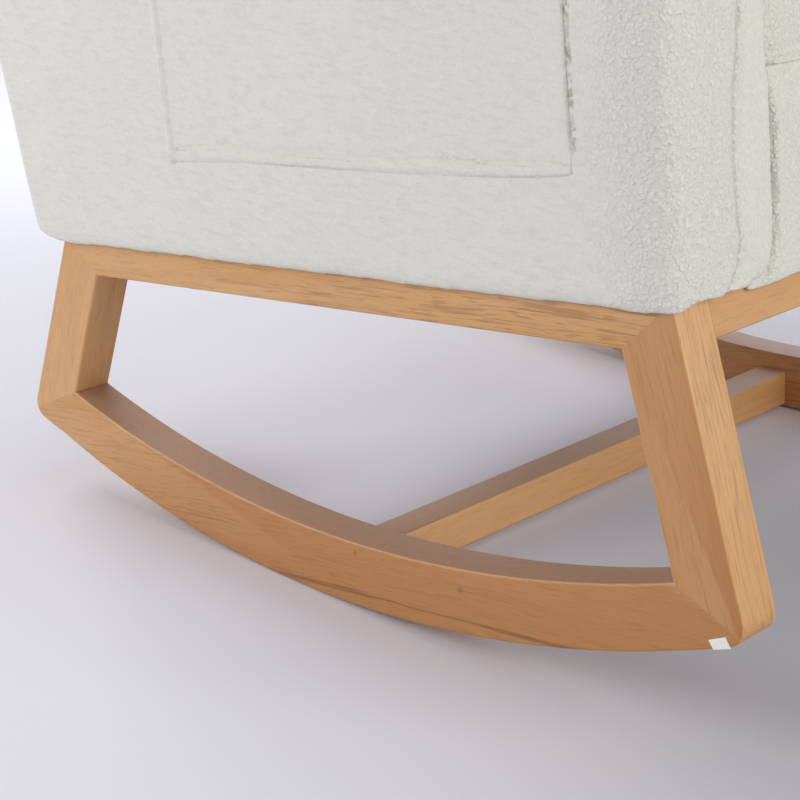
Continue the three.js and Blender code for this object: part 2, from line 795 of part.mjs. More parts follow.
function buildBack() {
  const back = new THREE.Group();
  const postTop = backHeight - postTopInset;
  const topZ = postTop * backCos;
  for (const { label, side } of sides) {
    const outline = [
      new THREE.Vector2(backPlane(postFrontDepth, boxBottom), boxBottom),
      new THREE.Vector2(backPlane(postRearDepth, boxBottom), boxBottom),
      new THREE.Vector2(backPlane(postRearDepth, topZ), topZ),
      new THREE.Vector2(backPlane(postFrontDepth, topZ), topZ),
    ];
    const post = sideways(outline, ...span(side, postInner, postOuter));
    back.add(piece(label + "_back_post", post, finish.innerWood));
  }

  const leaned = leanedBack();
  const railX = [-(postInner - gap), postInner - gap];
  const railY = [-postFrontDepth, -postFrontDepth + backRailThickness];
  const rails = { back_lower_rail: deckTop + lowerRailRise, back_top_rail: postTop - 2 * backRailHeight };
  for (const [name, height] of Object.entries(rails)) {
    leaned.add(piece(name, block(railX, railY, [height, height + backRailHeight]), finish.innerWood));
  }
  const strapX = postOuter - strapInset;
  const strapY = [-strapFrontDepth, -strapFrontDepth + strapThickness];
  for (let i = 0; i < strapCount; i++) {
    const height = armHeight - strapBelowArm + i * strapSpacing;
    const strap = block([-strapX, strapX], strapY, [height, height + strapWidth]);
    leaned.add(piece("back_strap_" + (i + 1), strap, finish.webbing));
  }
  const panelSlab = block([-backWidth, backWidth], [-backPanel, 0], [panelBottom, 2 * backHeight]);
  leaned.add(piece("outer_back_panel", meet(backBody(0), [panelSlab]), finish.sherpaPanel));
  back.add(leaned, piece("back_pad", backPad(leaned.matrix), finish.sherpa));
  return back;
}

// How far the back's sides move in towards its top.
function narrowing(height) {
  const start = armHeight / backCos;
  const rise = THREE.MathUtils.clamp((height - start) / (backHeight - start), 0, 1);
  return backTopNarrowing * rise ** 2;
}

// The back's whole padded form, in its leaned frame, with every face moved in by inset.
function backBody(inset) {
  const half = backWidth / 2 - inset;
  const behind = 2 * backEdge;
  const body = padded([-half, half], [-behind, backHeight - inset], [-behind, backDepth - inset], {
    edge: backEdge - inset,
    crown: backCrown,
    steps: [14, 18, 8],
  });
  // It lies face up so far: stand it up, with its crowned face to the front.
  const stand = new THREE.Matrix4().makeBasis(
    new THREE.Vector3(1, 0, 0),
    new THREE.Vector3(0, 0, 1),
    new THREE.Vector3(0, -1, 0),
  );
  return reshape(body.applyMatrix4(stand), (point) => {
    point.x *= 1 - (2 * narrowing(point.z)) / backWidth;
  });
}

function backPad(leanedMatrix) {
  const room = backBody(backFoam).applyMatrix4(leanedMatrix);
  const body = backBody(0).applyMatrix4(leanedMatrix);
  const far = backWidth + backHeight;
  const panelRoom = block([-far, far], [-backPanel - gap, far], [-far, far]);
  panelRoom.applyMatrix4(leanedMatrix);
  const tongue = seatHalf - gap;
  const besideTongue = [-far, armHeight + gap];
  const cuts = [
    room,
    panelRoom,
    block([tongue, far], [0, far], besideTongue),
    block([-far, -tongue], [0, far], besideTongue),
    block([-far, far], [0, far], [-far, deckTop + padFloor]),
  ];
  return cut(body, cuts);
}

// A small bare sticker on the outer face of the right rocker, near its front end.
function sticker() {
  const angle = frontLines.roundAngle + radians(stickerPast);
  const place = arcPoint(underCentre, rockerRadius - stickerRise, angle);
  const geometry = new THREE.BoxGeometry(stickerThickness, stickerWidth, stickerHeight);
  const mesh = piece("blank_sticker", geometry, finish.sticker);
  mesh.position.set(-(halfBase + stickerThickness / 2 + stickerGap), place.x, place.y);
  mesh.rotation.x = angle;
  return mesh;
}

const chair = new THREE.Group();
chair.add(buildBase(), buildSeatBox(), buildArms(), buildBack());
chair.add(
  piece("front_apron", frontApron(), finish.sherpaPanel),
  piece("seat_cushion", seatCushion(), finish.sherpa),
  sticker(),
);

// Lean the chair back, stand its resting flat on z = 0, and centre its footprint on the origin.
chair.rotation.x = -radians(restTilt);
chair.updateMatrixWorld(true);
const restFlat = underCentre.clone().rotateAround(new THREE.Vector2(), -radians(restTilt));
chair.position.z = rockerRadius * Math.cos(radians(underFacet / 2)) - restFlat.y;
const box = new THREE.Box3().setFromObject(chair, true);
chair.position.y = -(box.min.y + box.max.y) / 2;

const rockingChair = new THREE.Group();
rockingChair.add(chair);
export default rockingChair;
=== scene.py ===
import math

import bmesh
import bpy
import numpy as np
from mathutils import Matrix, Vector


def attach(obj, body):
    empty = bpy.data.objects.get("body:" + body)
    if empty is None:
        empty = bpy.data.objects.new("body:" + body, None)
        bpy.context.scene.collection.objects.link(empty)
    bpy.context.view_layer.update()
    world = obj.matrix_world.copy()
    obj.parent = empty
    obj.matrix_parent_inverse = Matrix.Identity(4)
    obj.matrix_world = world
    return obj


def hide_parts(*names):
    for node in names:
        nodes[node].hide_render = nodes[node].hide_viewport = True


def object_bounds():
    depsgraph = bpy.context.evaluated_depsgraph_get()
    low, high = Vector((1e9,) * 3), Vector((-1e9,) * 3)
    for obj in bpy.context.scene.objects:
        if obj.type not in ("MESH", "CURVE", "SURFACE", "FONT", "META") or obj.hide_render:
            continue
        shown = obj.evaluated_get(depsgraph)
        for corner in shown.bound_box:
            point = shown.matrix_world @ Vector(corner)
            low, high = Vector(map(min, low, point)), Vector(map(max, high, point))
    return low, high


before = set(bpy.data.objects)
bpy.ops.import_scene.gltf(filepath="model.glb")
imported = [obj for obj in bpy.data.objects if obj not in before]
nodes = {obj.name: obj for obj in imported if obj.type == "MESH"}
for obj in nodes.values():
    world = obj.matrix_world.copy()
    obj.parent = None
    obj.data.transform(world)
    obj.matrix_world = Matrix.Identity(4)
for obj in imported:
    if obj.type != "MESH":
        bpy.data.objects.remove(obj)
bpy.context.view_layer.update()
world = bpy.context.scene
print("chair: frame loaded")

# The chair's own upright frame: z = 0 along the lower edge of the upholstery, before the chair leans back.
chair = dict(
    lean=math.radians(6.676),
    boardFront=-0.244,  # seat box, in the chair's own frame
    boardBottom=0.0065,
    coverOuter=0.310,
    armWidth=0.097,
    coverFront=-0.262,
    armHeight=0.350,
    backFoot=0.374,
    backLean=math.radians(8.92),
)


def readPoints(mesh):
    co = np.zeros(len(mesh.vertices) * 3)
    mesh.vertices.foreach_get("co", co)
    return co.reshape(-1, 3)


def corners(name):
    return readPoints(nodes[name].data)


turn = np.array(Matrix.Rotation(-chair["lean"], 3, "X"))
boardLow = (corners("seat_front_board") @ turn).min(0)
ownOrigin = np.array([0.0, boardLow[1] - chair["boardFront"], boardLow[2] - chair["boardBottom"]])


def toOwn(co):
    return np.asarray(co) @ turn - ownOrigin


def fromOwn(co):
    return (np.asarray(co) + ownOrigin) @ turn.T


# Camera: low on the sitter's right, close to the rockers
cameraSet = dict(place=(-1.1367, -0.9817, 0.6013), look=(0.67177, 0.65515, -0.34569), lens=83.0)


def aimed(name, data, place, look):  # a camera or lamp at its place, facing along a direction
    thing = bpy.data.objects.new(name, data)
    thing.location = place
    thing.rotation_euler = Vector(look).to_track_quat("-Z", "Y").to_euler()
    world.collection.objects.link(thing)
    return thing


def placeCamera():
    data = bpy.data.cameras.new("chairCamera")
    data.lens = cameraSet["lens"]
    data.sensor_width = 36
    data.clip_start = 0.05
    world.camera = aimed("chairCamera", data, cameraSet["place"], cameraSet["look"])


placeCamera()
print("chair: camera placed")


def feed(shader, values):  # a made value is linked to its socket, and a constant is set on it
    for socket, value in values.items():
        if isinstance(value, Shade):
            value.tree.links.new(value.socket, shader.inputs[socket])
        else:
            shader.inputs[socket].default_value = value


# Shader maths: a Shade is a value in a material, and plain arithmetic on it adds its nodes
class Shade:
    def __init__(self, tree, socket=None):
        self.tree, self.socket = tree, socket

    def node(self, kind, settings=None, sockets=None, out=0):
        made = self.tree.nodes.new("ShaderNode" + kind)
        for key, value in (settings or {}).items():
            setattr(made, key, value)
        feed(made, sockets or {})
        return Shade(self.tree, made.outputs[out])

    def calc(self, operation, a, b=0.0):
        return self.node("Math", dict(operation=operation), {0: a, 1: b})

    def __add__(self, other):
        return self.calc("ADD", self, other)

    __radd__ = __add__

    def __sub__(self, other):
        return self.calc("SUBTRACT", self, other)

    def __rsub__(self, other):
        return self.calc("SUBTRACT", other, self)

    def __mul__(self, other):
        return self.calc("MULTIPLY", self, other)

    __rmul__ = __mul__

    def ramp(self, low, high, first=0.0, last=1.0):
        sockets = {"Value": self, "From Min": low, "From Max": high, "To Min": first, "To Max": last}
        return self.node("MapRange", dict(interpolation_type="SMOOTHSTEP"), sockets)

    def mix(self, a, b):  # colours a and b, mixed by this value
        return self.node("Mix", dict(data_type="RGBA"), {0: self, 6: a, 7: b}, out=2)

    def vector(self, operation, value, out=0):
        return self.node("VectorMath", dict(operation=operation), {0: self, 1: value}, out)

    def stretched(self, scale):  # this vector, scaled along each axis
        return self.vector("MULTIPLY", scale)

    def moved(self, other, amount):  # this vector, pushed about by another around 0.5
        centred = other.vector("SUBTRACT", (0.5, 0.5, 0.5))
        push = self.node("VectorMath", dict(operation="SCALE"), {0: centred, "Scale": amount})
        return self.vector("ADD", push)

    def parts(self):  # this vector's three values
        split = self.node("SeparateXYZ", {}, {0: self}).socket.node
        return [Shade(self.tree, socket) for socket in split.outputs]

    def noise(self, scale, detail=2.0, rough=0.5, out=0):
        sockets = {"Vector": self, "Scale": scale, "Detail": detail, "Roughness": rough}
        return self.node("TexNoise", {}, sockets, out)


def srgb(r, g, b):
    linear = (((v / 255 + 0.055) / 1.055) ** 2.4 if v > 10 else v / 255 / 12.92 for v in (r, g, b))
    return (*linear, 1.0)


def newFinish(name, viewport):
    material = bpy.data.materials.new(name)
    material.use_nodes = True
    material.diffuse_color = viewport
    s = Shade(material.node_tree)
    return material, s, s.node("TexCoord", out="Object")


def surfaced(material, look):
    feed(material.node_tree.nodes["Principled BSDF"], look)
    return material


def painted(s, name, out="Fac"):  # a point attribute of the mesh
    return s.node("Attribute", dict(attribute_name=name), out=out)


def bump(height, distance, strength=1.0):
    return height.node("Bump", {}, {"Height": height, "Distance": distance, "Strength": strength})


# Curly pile cloth. Three point attributes steer it: sleek is 1 where the pile lies short, lines holds the
# distances in metres from the nearest seam, crease and open gap, and lineDepth says how deep each of them is.
pileSet = dict(
    light=(226, 225, 216),
    shade=(197, 196, 186),
    seam=(150, 147, 136),
    # a dark brown painted into open gaps as their shade
    gap=(100, 88, 72),
    curlScale=300.0,
    tuftScale=370.0,
    fibreScale=1300.0,
    curlSway=0.0045,
    curlHeight=0.0009,
    seamWidth=0.0019,
    creaseWidth=0.0014,
    gapWidth=0.0026,
)


def makePile(name):
    material, s, place = newFinish(name, srgb(*pileSet["light"]))
    sleek = painted(s, "sleek")
    away = painted(s, "lines", "Vector").parts()
    deep = painted(s, "lineDepth", "Vector").parts()
    curled = place.moved(place.noise(240.0, 2.0, 0.6, out="Color"), pileSet["curlSway"])
    strand = 1.0 - s.calc("ABSOLUTE", curled.noise(pileSet["curlScale"], 1.5, 0.55) * 2.0 - 1.0) * 2.4
    cells = {"Vector": curled, "Scale": pileSet["tuftScale"]}
    tuft = 1.0 - s.node("TexVoronoi", dict(feature="F1"), cells, out="Distance").ramp(0.15, 0.8)
    fibre = place.noise(pileSet["fibreScale"], 2.0, 0.6)
    nap = place.stretched((1.0, 0.24, 1.0)).noise(300.0, 3.0, 0.6)
    patch = place.noise(9.0)
    full = 1.0 - sleek * 0.76

    def sewnLine(which, width):
        wander = (fibre - 0.5) * 0.0009 + (tuft - 0.5) * 0.0010
        near = 1.0 - s.calc("ABSOLUTE", away[which] + wander).ramp(width * 0.25, width)
        return near * deep[which] * (0.6 + fibre * 0.8)

    seam = sewnLine(0, pileSet["seamWidth"])
    crease = sewnLine(1, pileSet["creaseWidth"])
    # painted shade: open gaps are filled with the dark brown, in ragged spots
    gap = sewnLine(2, pileSet["gapWidth"]) * place.noise(250.0, 1.0, 0.5).ramp(0.34, 0.58)
    hollow = (1.0 - strand.ramp(-0.1, 0.9)) * 0.26 + (1.0 - tuft) * 0.38
    wrinkle = (nap.ramp(0.42, 0.72) * 0.26 + 0.14) * sleek
    shadow = hollow * full * (0.7 + patch * 0.6) + wrinkle
    tone = shadow.mix(srgb(*pileSet["light"]), srgb(*pileSet["shade"]))
    # the seam tone darkens seam lines, partly as the joint's own colour and partly as painted shade in their
    # grooves, and paints shade in creases
    tone = s.calc("MAXIMUM", seam, crease * 0.8).mix(tone, srgb(*pileSet["seam"]))
    height = (strand * 0.3 + tuft * 0.8) * full + fibre * 0.2 + nap * (0.2 + sleek * 0.5)
    return surfaced(material, {
        "Base Color": gap.mix(tone, srgb(*pileSet["gap"])),
        "Roughness": 0.95,
        "Sheen Weight": 0.2,
        "Sheen Roughness": 0.6,
        "Specular IOR Level": 0.15,
        "Normal": bump(height - seam - crease * 0.7 - gap * 1.5, pileSet["curlHeight"], 0.8),
    })


pile = makePile("curlyPile")


# Honey wood: the grain attribute holds metres along, across and through each board. Of the three others,
# the first is 1 where dark grain lines show and is raised as painted shade on the rockers' inner faces,
# the second paints a deeper tone as shade on the flanks and shaded faces, and the third is 1 where
# the upward faces take a pale painted sheen
woodSet = dict(
    light=(213, 165, 113),
    middle=(204, 153, 96),
    deep=(180, 121, 65),
    dark=(160, 108, 64),
    pore=(140, 94, 56),
    streak=(116, 74, 42),
    veins=((-1.1345, -0.90, -0.55, 0.0011), (-1.103, -0.54, -0.42, 0.0007)),  # across, from, to, width
    knots=((-0.302, 0.0374, -0.2048), (-0.302, -0.0641, -0.2111), (-0.2054, -0.2583, -0.0066)),
    # painted shade and reflection on the faces that look up, then a paler painted sheen where the pale
    # attribute is 1
    topShadeAndSheen=(165, 127, 110),
    sheen=(210, 188, 184),
)


grainSet = dict(  # repeats in a metre along, across and through the grain
    broad=(2.2, 26.0, 26.0),
    sway=(5.0, 14.0, 14.0),
    fibre=(30.0, 950.0, 950.0),
    silk=(6.0, 130.0, 130.0),
    dashes=(42.0, 560.0, 560.0),
    lines=(13.0, 420.0, 420.0),
)


def makeWood(name, tones, roughness, coat):
    material, s, place = newFinish(name, srgb(*tones["middle"]))
    grain = painted(s, "grain", "Vector")
    marks = painted(s, "marks")
    ripe = painted(s, "ripe")
    along, across, _ = grain.parts()
    broad = grain.stretched(grainSet["broad"]).noise(1.0)
    sway = grain.stretched(grainSet["sway"]).noise(1.0, out="Color")
    bent = grain.moved(sway, 0.012)
    fibre = grain.stretched(grainSet["fibre"]).noise(1.0, 3.0, 0.65)
    silk = bent.stretched(grainSet["silk"]).noise(1.0, 2.0, 0.6)
    dashes = bent.stretched(grainSet["dashes"]).noise(1.0, 2.0, 0.55).ramp(0.52, 0.68)
    lines = bent.stretched(grainSet["lines"]).noise(1.0, 2.0, 0.6).ramp(0.54, 0.66)
    tone = broad.ramp(0.3, 0.7).mix(srgb(*tones["light"]), srgb(*tones["middle"]))
    # painted shade: the deeper tone goes on the flanks, whose front faces look lighter from reflected light,
    # and on shaded faces
    tone = ripe.mix(tone, srgb(*tones["deep"]))
    tone = (silk.ramp(0.48, 0.72) * 0.13 + fibre.ramp(0.5, 0.8) * 0.2).mix(tone, srgb(*tones["dark"]))
    # dark grain lines, partly the wood's own and partly painted shade where they are raised on shaded faces
    tone = (dashes * (marks * 0.45 + 0.12)).mix(tone, srgb(*tones["pore"]))
    tone = (lines * marks * 0.55).mix(tone, srgb(*tones["streak"]))
    for at, start, end, width in tones.get("veins", ()):
        gap = s.calc("ABSOLUTE", across - at + (silk - 0.5) * 0.012)
        length = along.ramp(start, start + 0.05) * (1.0 - along.ramp(end - 0.05, end))
        tone = ((1.0 - gap.ramp(width * 0.3, width)) * length * 0.55).mix(tone, srgb(*tones["streak"]))
    for knot in tones.get("knots", ()):
        gone = place.vector("DISTANCE", tuple(fromOwn(knot)), "Value")
        spot = 1.0 - (gone + (fibre - 0.5) * 0.002).ramp(0.0008, 0.0030)
        tone = (spot * 0.5).mix(tone, srgb(*tones["streak"]))
    # painted shade and reflection: upward faces take the greyer tone, and the pale painted sheen where the
    # pale attribute is 1
    if "topShadeAndSheen" in tones:  # the faces that look up are greyer
        up = s.node("NewGeometry", out="Normal").parts()[2]
        pale = painted(s, "pale")
        tone = (up.ramp(0.72, 0.93) * 0.72).mix(tone, pale.mix(srgb(*tones["topShadeAndSheen"]), srgb(*tones["sheen"])))
    return surfaced(material, {
        "Base Color": tone,
        "Roughness": fibre * 0.14 + dashes * 0.1 + roughness,
        "Coat Weight": coat,
        "Coat Roughness": 0.3,
        "Normal": bump(fibre * 0.5 + silk * 0.3 - dashes * 0.5, 0.00022, 0.6),
    })


honeyWood = makeWood("honeyWood", woodSet, 0.40, 0.12)
innerTones = dict(
    light=(226, 200, 158),
    middle=(212, 182, 136),
    deep=(200, 168, 122),
    dark=(180, 146, 100),
    pore=(150, 116, 76),
    streak=(140, 104, 66),
)
innerWood = makeWood("pineBoard", innerTones, 0.7, 0.0)


def makeSteel():
    material, _, place = newFinish("zincSteel", (0.5, 0.5, 0.5, 1))
    spots = place.noise(420.0, 3.0, 0.6)
    cloud = place.noise(60.0)
    return surfaced(material, {
        "Base Color": cloud.ramp(0.3, 0.7).mix(srgb(150, 153, 156), srgb(182, 184, 182)),
        "Metallic": 1.0,
        "Roughness": spots * 0.25 + 0.22,
        "Normal": bump(spots, 0.0001, 0.4),
    })


def makeCloth(name, light, dark, pitch, depth):
    material, s, place = newFinish(name, srgb(*light))
    across, along, up = place.stretched((math.pi / pitch,) * 3).parts()
    weft = s.calc("ABSOLUTE", s.calc("SINE", across))
    warp = s.calc("ABSOLUTE", s.calc("SINE", along + up + 0.8))
    weave = weft * warp
    lint = place.noise(300.0, 3.0, 0.6)
    return surfaced(material, {
        "Base Color": (weave * 0.6 + lint * 0.3).mix(srgb(*dark), srgb(*light)),
        "Roughness": 0.9,
        "Normal": bump(weave + lint * 0.3, depth, 0.7),
    })


def makeSticker():
    material, _, place = newFinish("barePaper", srgb(240, 239, 234))
    scuff = place.noise(500.0, 3.0, 0.6)
    return surfaced(material, {
        "Base Color": scuff.ramp(0.5, 0.9).mix(srgb(240, 238, 230), srgb(228, 224, 212)),
        "Roughness": scuff * 0.2 + 0.4,
        "Normal": bump(scuff, 0.00005, 0.4),
    })


steel = makeSteel()
webbing = makeCloth("elasticWebbing", (92, 90, 86), (48, 47, 45), 0.0022, 0.0004)
darkCloth = makeCloth("feltedLining", (58, 58, 60), (34, 34, 36), 0.0014, 0.0002)
paper = makeSticker()
print("chair: finishes made")


# Mesh helpers
def linkForm(name, form):
    mesh = bpy.data.meshes.new(name)
    form.to_mesh(mesh)
    form.free()
    piece = bpy.data.objects.new(name, mesh)
    world.collection.objects.link(piece)
    return piece


def writePoints(mesh, co):
    mesh.vertices.foreach_set("co", np.ascontiguousarray(co).ravel())
    mesh.update()


def readNormals(mesh):
    no = np.zeros(len(mesh.vertices) * 3)
    mesh.vertex_normals.foreach_get("vector", no)
    return no.reshape(-1, 3)


def applied(piece):
    evaluated = piece.evaluated_get(bpy.context.evaluated_depsgraph_get())
    mesh = bpy.data.meshes.new_from_object(evaluated)
    old = piece.data
    piece.modifiers.clear()
    piece.data = mesh
    bpy.data.meshes.remove(old)
    return piece


def withModifier(piece, kind, **settings):
    modifier = piece.modifiers.new(kind.lower(), kind)
    for key, value in settings.items():
        setattr(modifier, key, value)


def modified(piece, kind, **settings):
    withModifier(piece, kind, **settings)
    return applied(piece)


def welded(node):  # a form of the node's solid, its corners joined
    form = bmesh.new()
    form.from_mesh(nodes[node].data)
    bmesh.ops.remove_doubles(form, verts=form.verts, dist=2e-6)
    return form


def finished(piece, material, node, body="chair"):
    piece.data.materials.clear()
    piece.data.materials.append(material)
    piece.data.polygons.foreach_set("use_smooth", [True] * len(piece.data.polygons))
    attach(piece, body)
    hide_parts(node)


def falloff(value, width):
    return np.exp(-((value / width) ** 2))


def step(value, low, high):
    t = np.clip((value - low) / (high - low), 0, 1)
    return t * t * (3 - 2 * t)


def paint(mesh, **attributes):  # each is one value for all points, a value for each, or three for each
    for name, values in attributes.items():
        three = np.ndim(values) == 2
        attribute = mesh.attributes.new(name, "FLOAT_VECTOR" if three else "FLOAT", "POINT")
        values = values if np.ndim(values) else np.full(len(mesh.vertices), values)
        flat = np.ascontiguousarray(values, dtype=np.float32).ravel()
        attribute.data.foreach_set("vector" if three else "value", flat)


# Side frames: each board is drawn again from its outline, with true arcs and eased edges
frameSet = dict(
    easing=0.0024,
    leastTurn=math.radians(0.4),
    sharp=math.radians(24),  # a bigger turn than this is a corner
    mitreLongest=0.080,
    arcLongest=0.09,  # a longer run of the outline is straight
    arcStep=0.008,
    boltHead=0.0136,
    boltDepth=0.0083,
    hole=0.0086,  # for a bolt's shank or a dowel
    dowelGap=0.0003,
    mitreGap=0.00018,
    buttGap=0.00035,
    innerEasing=0.14,  # of the outer edges' easing
    heel=(0.412, -0.155, 0.030, 0.0022),  # rounder rear corner: y, z, reach and how far it stands out
)


def neighbours(outline):
    return [(i, (i + 1) % len(outline)) for i in range(len(outline))]


def turnAt(points, i):
    a, b = points[i] - points[i - 1], points[(i + 1) % len(points)] - points[i]
    return abs(math.atan2(a[0] * b[1] - a[1] * b[0], float(a @ b)))


def outlineOf(node):
    form = welded(node)
    xs = [v.co.x for v in form.verts]
    outer = max(xs, key=abs)
    inner = min(xs, key=abs)
    side = [f for f in form.faces if all(abs(v.co.x - outer) < 1e-5 for v in f.verts)]
    faces, rim = set(side), {}
    for face in side:
        for loop in face.loops:
            if not any(other is not face and other in faces for other in loop.edge.link_faces):
                rim[loop.vert.index] = loop.link_loop_next.vert.index
    form.verts.ensure_lookup_table()
    order = []
    while rim:  # the longest ring is the outline, and the others are holes
        ring = [next(iter(rim))]
        while ring[-1] in rim:
            ring.append(rim.pop(ring[-1]))
        span = sum((form.verts[i].co - form.verts[j].co).length for i, j in zip(ring, ring[1:]))
        if not order or span > order[0]:
            order = [span, *ring[:-1]]
    order = order[1:]
    points = toOwn([form.verts[i].co[:] for i in order])[:, 1:]
    form.free()
    keep = [point for i, point in enumerate(points) if turnAt(points, i) > frameSet["leastTurn"]]
    return np.array(keep), inner, outer


def smoothOutline(points):
    sharp = [turnAt(points, i) > frameSet["sharp"] for i in range(len(points))]
    runs = [points[j] - points[i] for i, j in neighbours(points)]
    lengths = [float(np.linalg.norm(run)) for run in runs]

    def tangent(i, leaving):
        before, after = runs[i - 1] / lengths[i - 1], runs[i] / lengths[i]
        if sharp[i]:
            return after if leaving else before
        if max(lengths[i - 1], lengths[i]) > 3 * min(lengths[i - 1], lengths[i]):
            return before if lengths[i - 1] > lengths[i] else after
        middle = before * lengths[i] + after * lengths[i - 1]
        return middle / np.linalg.norm(middle)

    made, corner = [], []
    for i, j in neighbours(points):
        made.append(points[i])
        corner.append(sharp[i])
        if (sharp[i] and sharp[j]) or lengths[i] > frameSet["arcLongest"]:
            continue
        first, last, straight = tangent(i, True), tangent(j, False), runs[i] / lengths[i]
        if sharp[i]:  # an arc that starts at a corner leans as far the other way
            first = 2 * straight * float(last @ straight) - last
        if sharp[j]:
            last = 2 * straight * float(first @ straight) - first
        steps = max(2, round(lengths[i] / frameSet["arcStep"]))
        for k in range(1, steps):
            t = k / steps
            made.append(
                (2 * t**3 - 3 * t**2 + 1) * points[i] + (t**3 - 2 * t**2 + t) * lengths[i] * first
                + (3 * t**2 - 2 * t**3) * points[j] + (t**3 - t**2) * lengths[i] * last
            )
            corner.append(False)
    return np.array(made), corner


def closedMitres(outline, corner):  # the boards meet with no gap
    made = outline.copy()
    for i, j in neighbours(outline):
        run = outline[j] - outline[i]
        length = np.linalg.norm(run)
        if corner[i] and corner[j] and length < frameSet["mitreLongest"]:
            out = np.array([run[1], -run[0]]) / length
            middle = outline.mean(0)
            out *= np.sign(out @ ((outline[i] + outline[j]) / 2 - middle))
            made[[i, j]] += out * frameSet["mitreGap"]
    return made


def rounderHeel(outline):
    y, z, reach, out = frameSet["heel"]
    away = outline - np.array([y, z])
    push = out * np.exp(-(away**2).sum(1) / reach**2)
    behind = np.array([0.82, -0.57])
    onOutside = (away @ behind) > -0.012
    return outline + (push * onOutside)[:, None] * behind


def prism(outline, x0, x1):  # a form between two side faces, with its edges' bevel weights
    form = bmesh.new()
    near, far = ([form.verts.new(fromOwn([x, y, z])) for y, z in outline] for x in (x0, x1))
    form.faces.new(near)
    form.faces.new(far[::-1])
    for i, j in neighbours(outline):
        form.faces.new((near[j], near[i], far[i], far[j]))
    bmesh.ops.recalc_face_normals(form, faces=form.faces)
    return form, near, far, form.edges.layers.float.new("bevel_weight_edge")


def drawBoard(name, outline, corner, x0, x1):
    form, near, far, weight = prism(outline, x0, x1)
    for ring, ease in ((near, frameSet["innerEasing"]), (far, 1.0)):
        for i, j in neighbours(outline):
            length = (ring[i].co - ring[j].co).length
            mitre = corner[i] and corner[j] and length < frameSet["mitreLongest"]
            form.edges.get((ring[i], ring[j]))[weight] = 0.0 if mitre else ease
    return linkForm(name, form)


def pegBetween(diameter, start, end):
    form = bmesh.new()
    along = Vector(end) - Vector(start)
    turned = along.to_track_quat("Z", "Y").to_matrix().to_4x4()
    place = Matrix.Translation((Vector(start) + Vector(end)) / 2) @ turned
    size = dict(radius1=diameter / 2, radius2=diameter / 2, depth=along.length)
    bmesh.ops.create_cone(form, cap_ends=True, segments=24, matrix=place, **size)
    return linkForm("drill", form)


def drilled(piece, holes):
    for diameter, start, end in holes:
        drill = pegBetween(diameter, start, end)
        modified(piece, "BOOLEAN", object=drill, operation="DIFFERENCE", solver="EXACT")
        bpy.data.objects.remove(drill)


def ownBox(node):
    co = toOwn(corners(node))
    return co.min(0), co.max(0)


def dowelHoles(label):
    for row in ("lower", "upper"):
        low, high = ownBox(label + "_stretcher_dowel_" + row)
        y, z = (low[1:] + high[1:]) / 2
        ends = [fromOwn([x, y, z]) for x in (low[0] - frameSet["dowelGap"], high[0] + frameSet["dowelGap"])]
        yield frameSet["hole"], ends[0], ends[1]


def boardGrain(piece, kind, side):  # kind is the grain's direction in the board's side face
    own = toOwn(readPoints(piece.data))
    y, z = own[:, 1], own[:, 2]
    direction = np.asarray(kind) / np.linalg.norm(kind)
    along = y * direction[0] + z * direction[1]
    across = z * direction[0] - y * direction[1]
    return np.stack([along + side * 0.71, across + side * 0.9, own[:, 0]], 1)


def eased(piece):
    size = dict(width=frameSet["easing"], segments=3, profile=0.6, use_clamp_overlap=False)
    return modified(piece, "BEVEL", limit_method="WEIGHT", **size)


def flatShaded(piece, angle=38):
    piece.data.polygons.foreach_set("use_smooth", [True] * len(piece.data.polygons))
    piece.data.set_sharp_from_angle(angle=math.radians(angle))


def woodFinished(piece, node, grain, marks, ripe, pale):
    finished(piece, honeyWood, node)
    paint(piece.data, grain=grain, marks=marks, ripe=ripe, pale=pale)
    flatShaded(piece)


def makeSideBoards():
    for label, side in (("right", -1), ("left", 1)):
        for part in ("top_rail", "front_leg", "rear_leg", "rocker"):
            node = label + "_" + part
            points, inner, outer = outlineOf(node)
            outline, corner = smoothOutline(points)
            outline = closedMitres(rounderHeel(outline), corner)
            piece = eased(drawBoard(node.replace("_", "-") + "-board", outline, corner, inner, outer))
            if part == "top_rail":
                for end in ("front", "rear"):
                    low, high = ownBox("base_bolt_" + end + "_" + label)
                    x, y = (low[:2] + high[:2]) / 2
                    levels = (low[2] - 0.02, low[2] + frameSet["boltDepth"], high[2])
                    under, deep, top = (fromOwn([x, y, z]) for z in levels)
                    drilled(piece, [(frameSet["boltHead"], under, deep), (frameSet["hole"], under, top)])
            if part == "rocker":
                drilled(piece, dowelHoles(label))
            longest = max(range(len(points)), key=lambda i: np.linalg.norm(points[i] - points[i - 1]))
            kind = (1.0, -0.03) if part == "rocker" else points[longest] - points[longest - 1]
            grain = boardGrain(piece, kind, side)
            own = toOwn(readPoints(piece.data))
            normals = readNormals(piece.data) @ turn
            flank = step(np.abs(normals[:, 0]), 0.5, 0.9)
            # painted shade: the flanks take the deeper tone, as the front faces look lighter from reflected
            # light
            marks, ripe = 0.12, flank * 0.95
            if part == "top_rail":
                marks = np.clip((0.10 - own[:, 1]) / 0.30, 0, 1) * 0.8 + 0.08
                ripe = step(-own[:, 1], -0.1, 0.25) * 0.16
            if part == "rocker":
                marks = 0.3
                ripe = flank * (step(-own[:, 1], -0.36, -0.2) * 0.6 + 0.25)
                # painted shade: the rockers' inner faces lie in the chair's shadow, so they take the full
                # deeper tone and more dark lines
                inward = step(-normals[:, 0] * side, 0.3, 0.8) * (own[:, 1] < 0.1)
                ripe, marks = np.maximum(ripe, inward), 0.3 + 0.6 * inward
            if part == "front_leg":
                marks = 0.04 + 0.45 * (1 - flank)
            if part == "rear_leg":
                ripe = (1 - flank) * 0.05
            # painted sheen: the far frame's upward faces take the pale painted sheen
            woodFinished(piece, node, grain, marks, ripe, 0.8 * (side > 0))


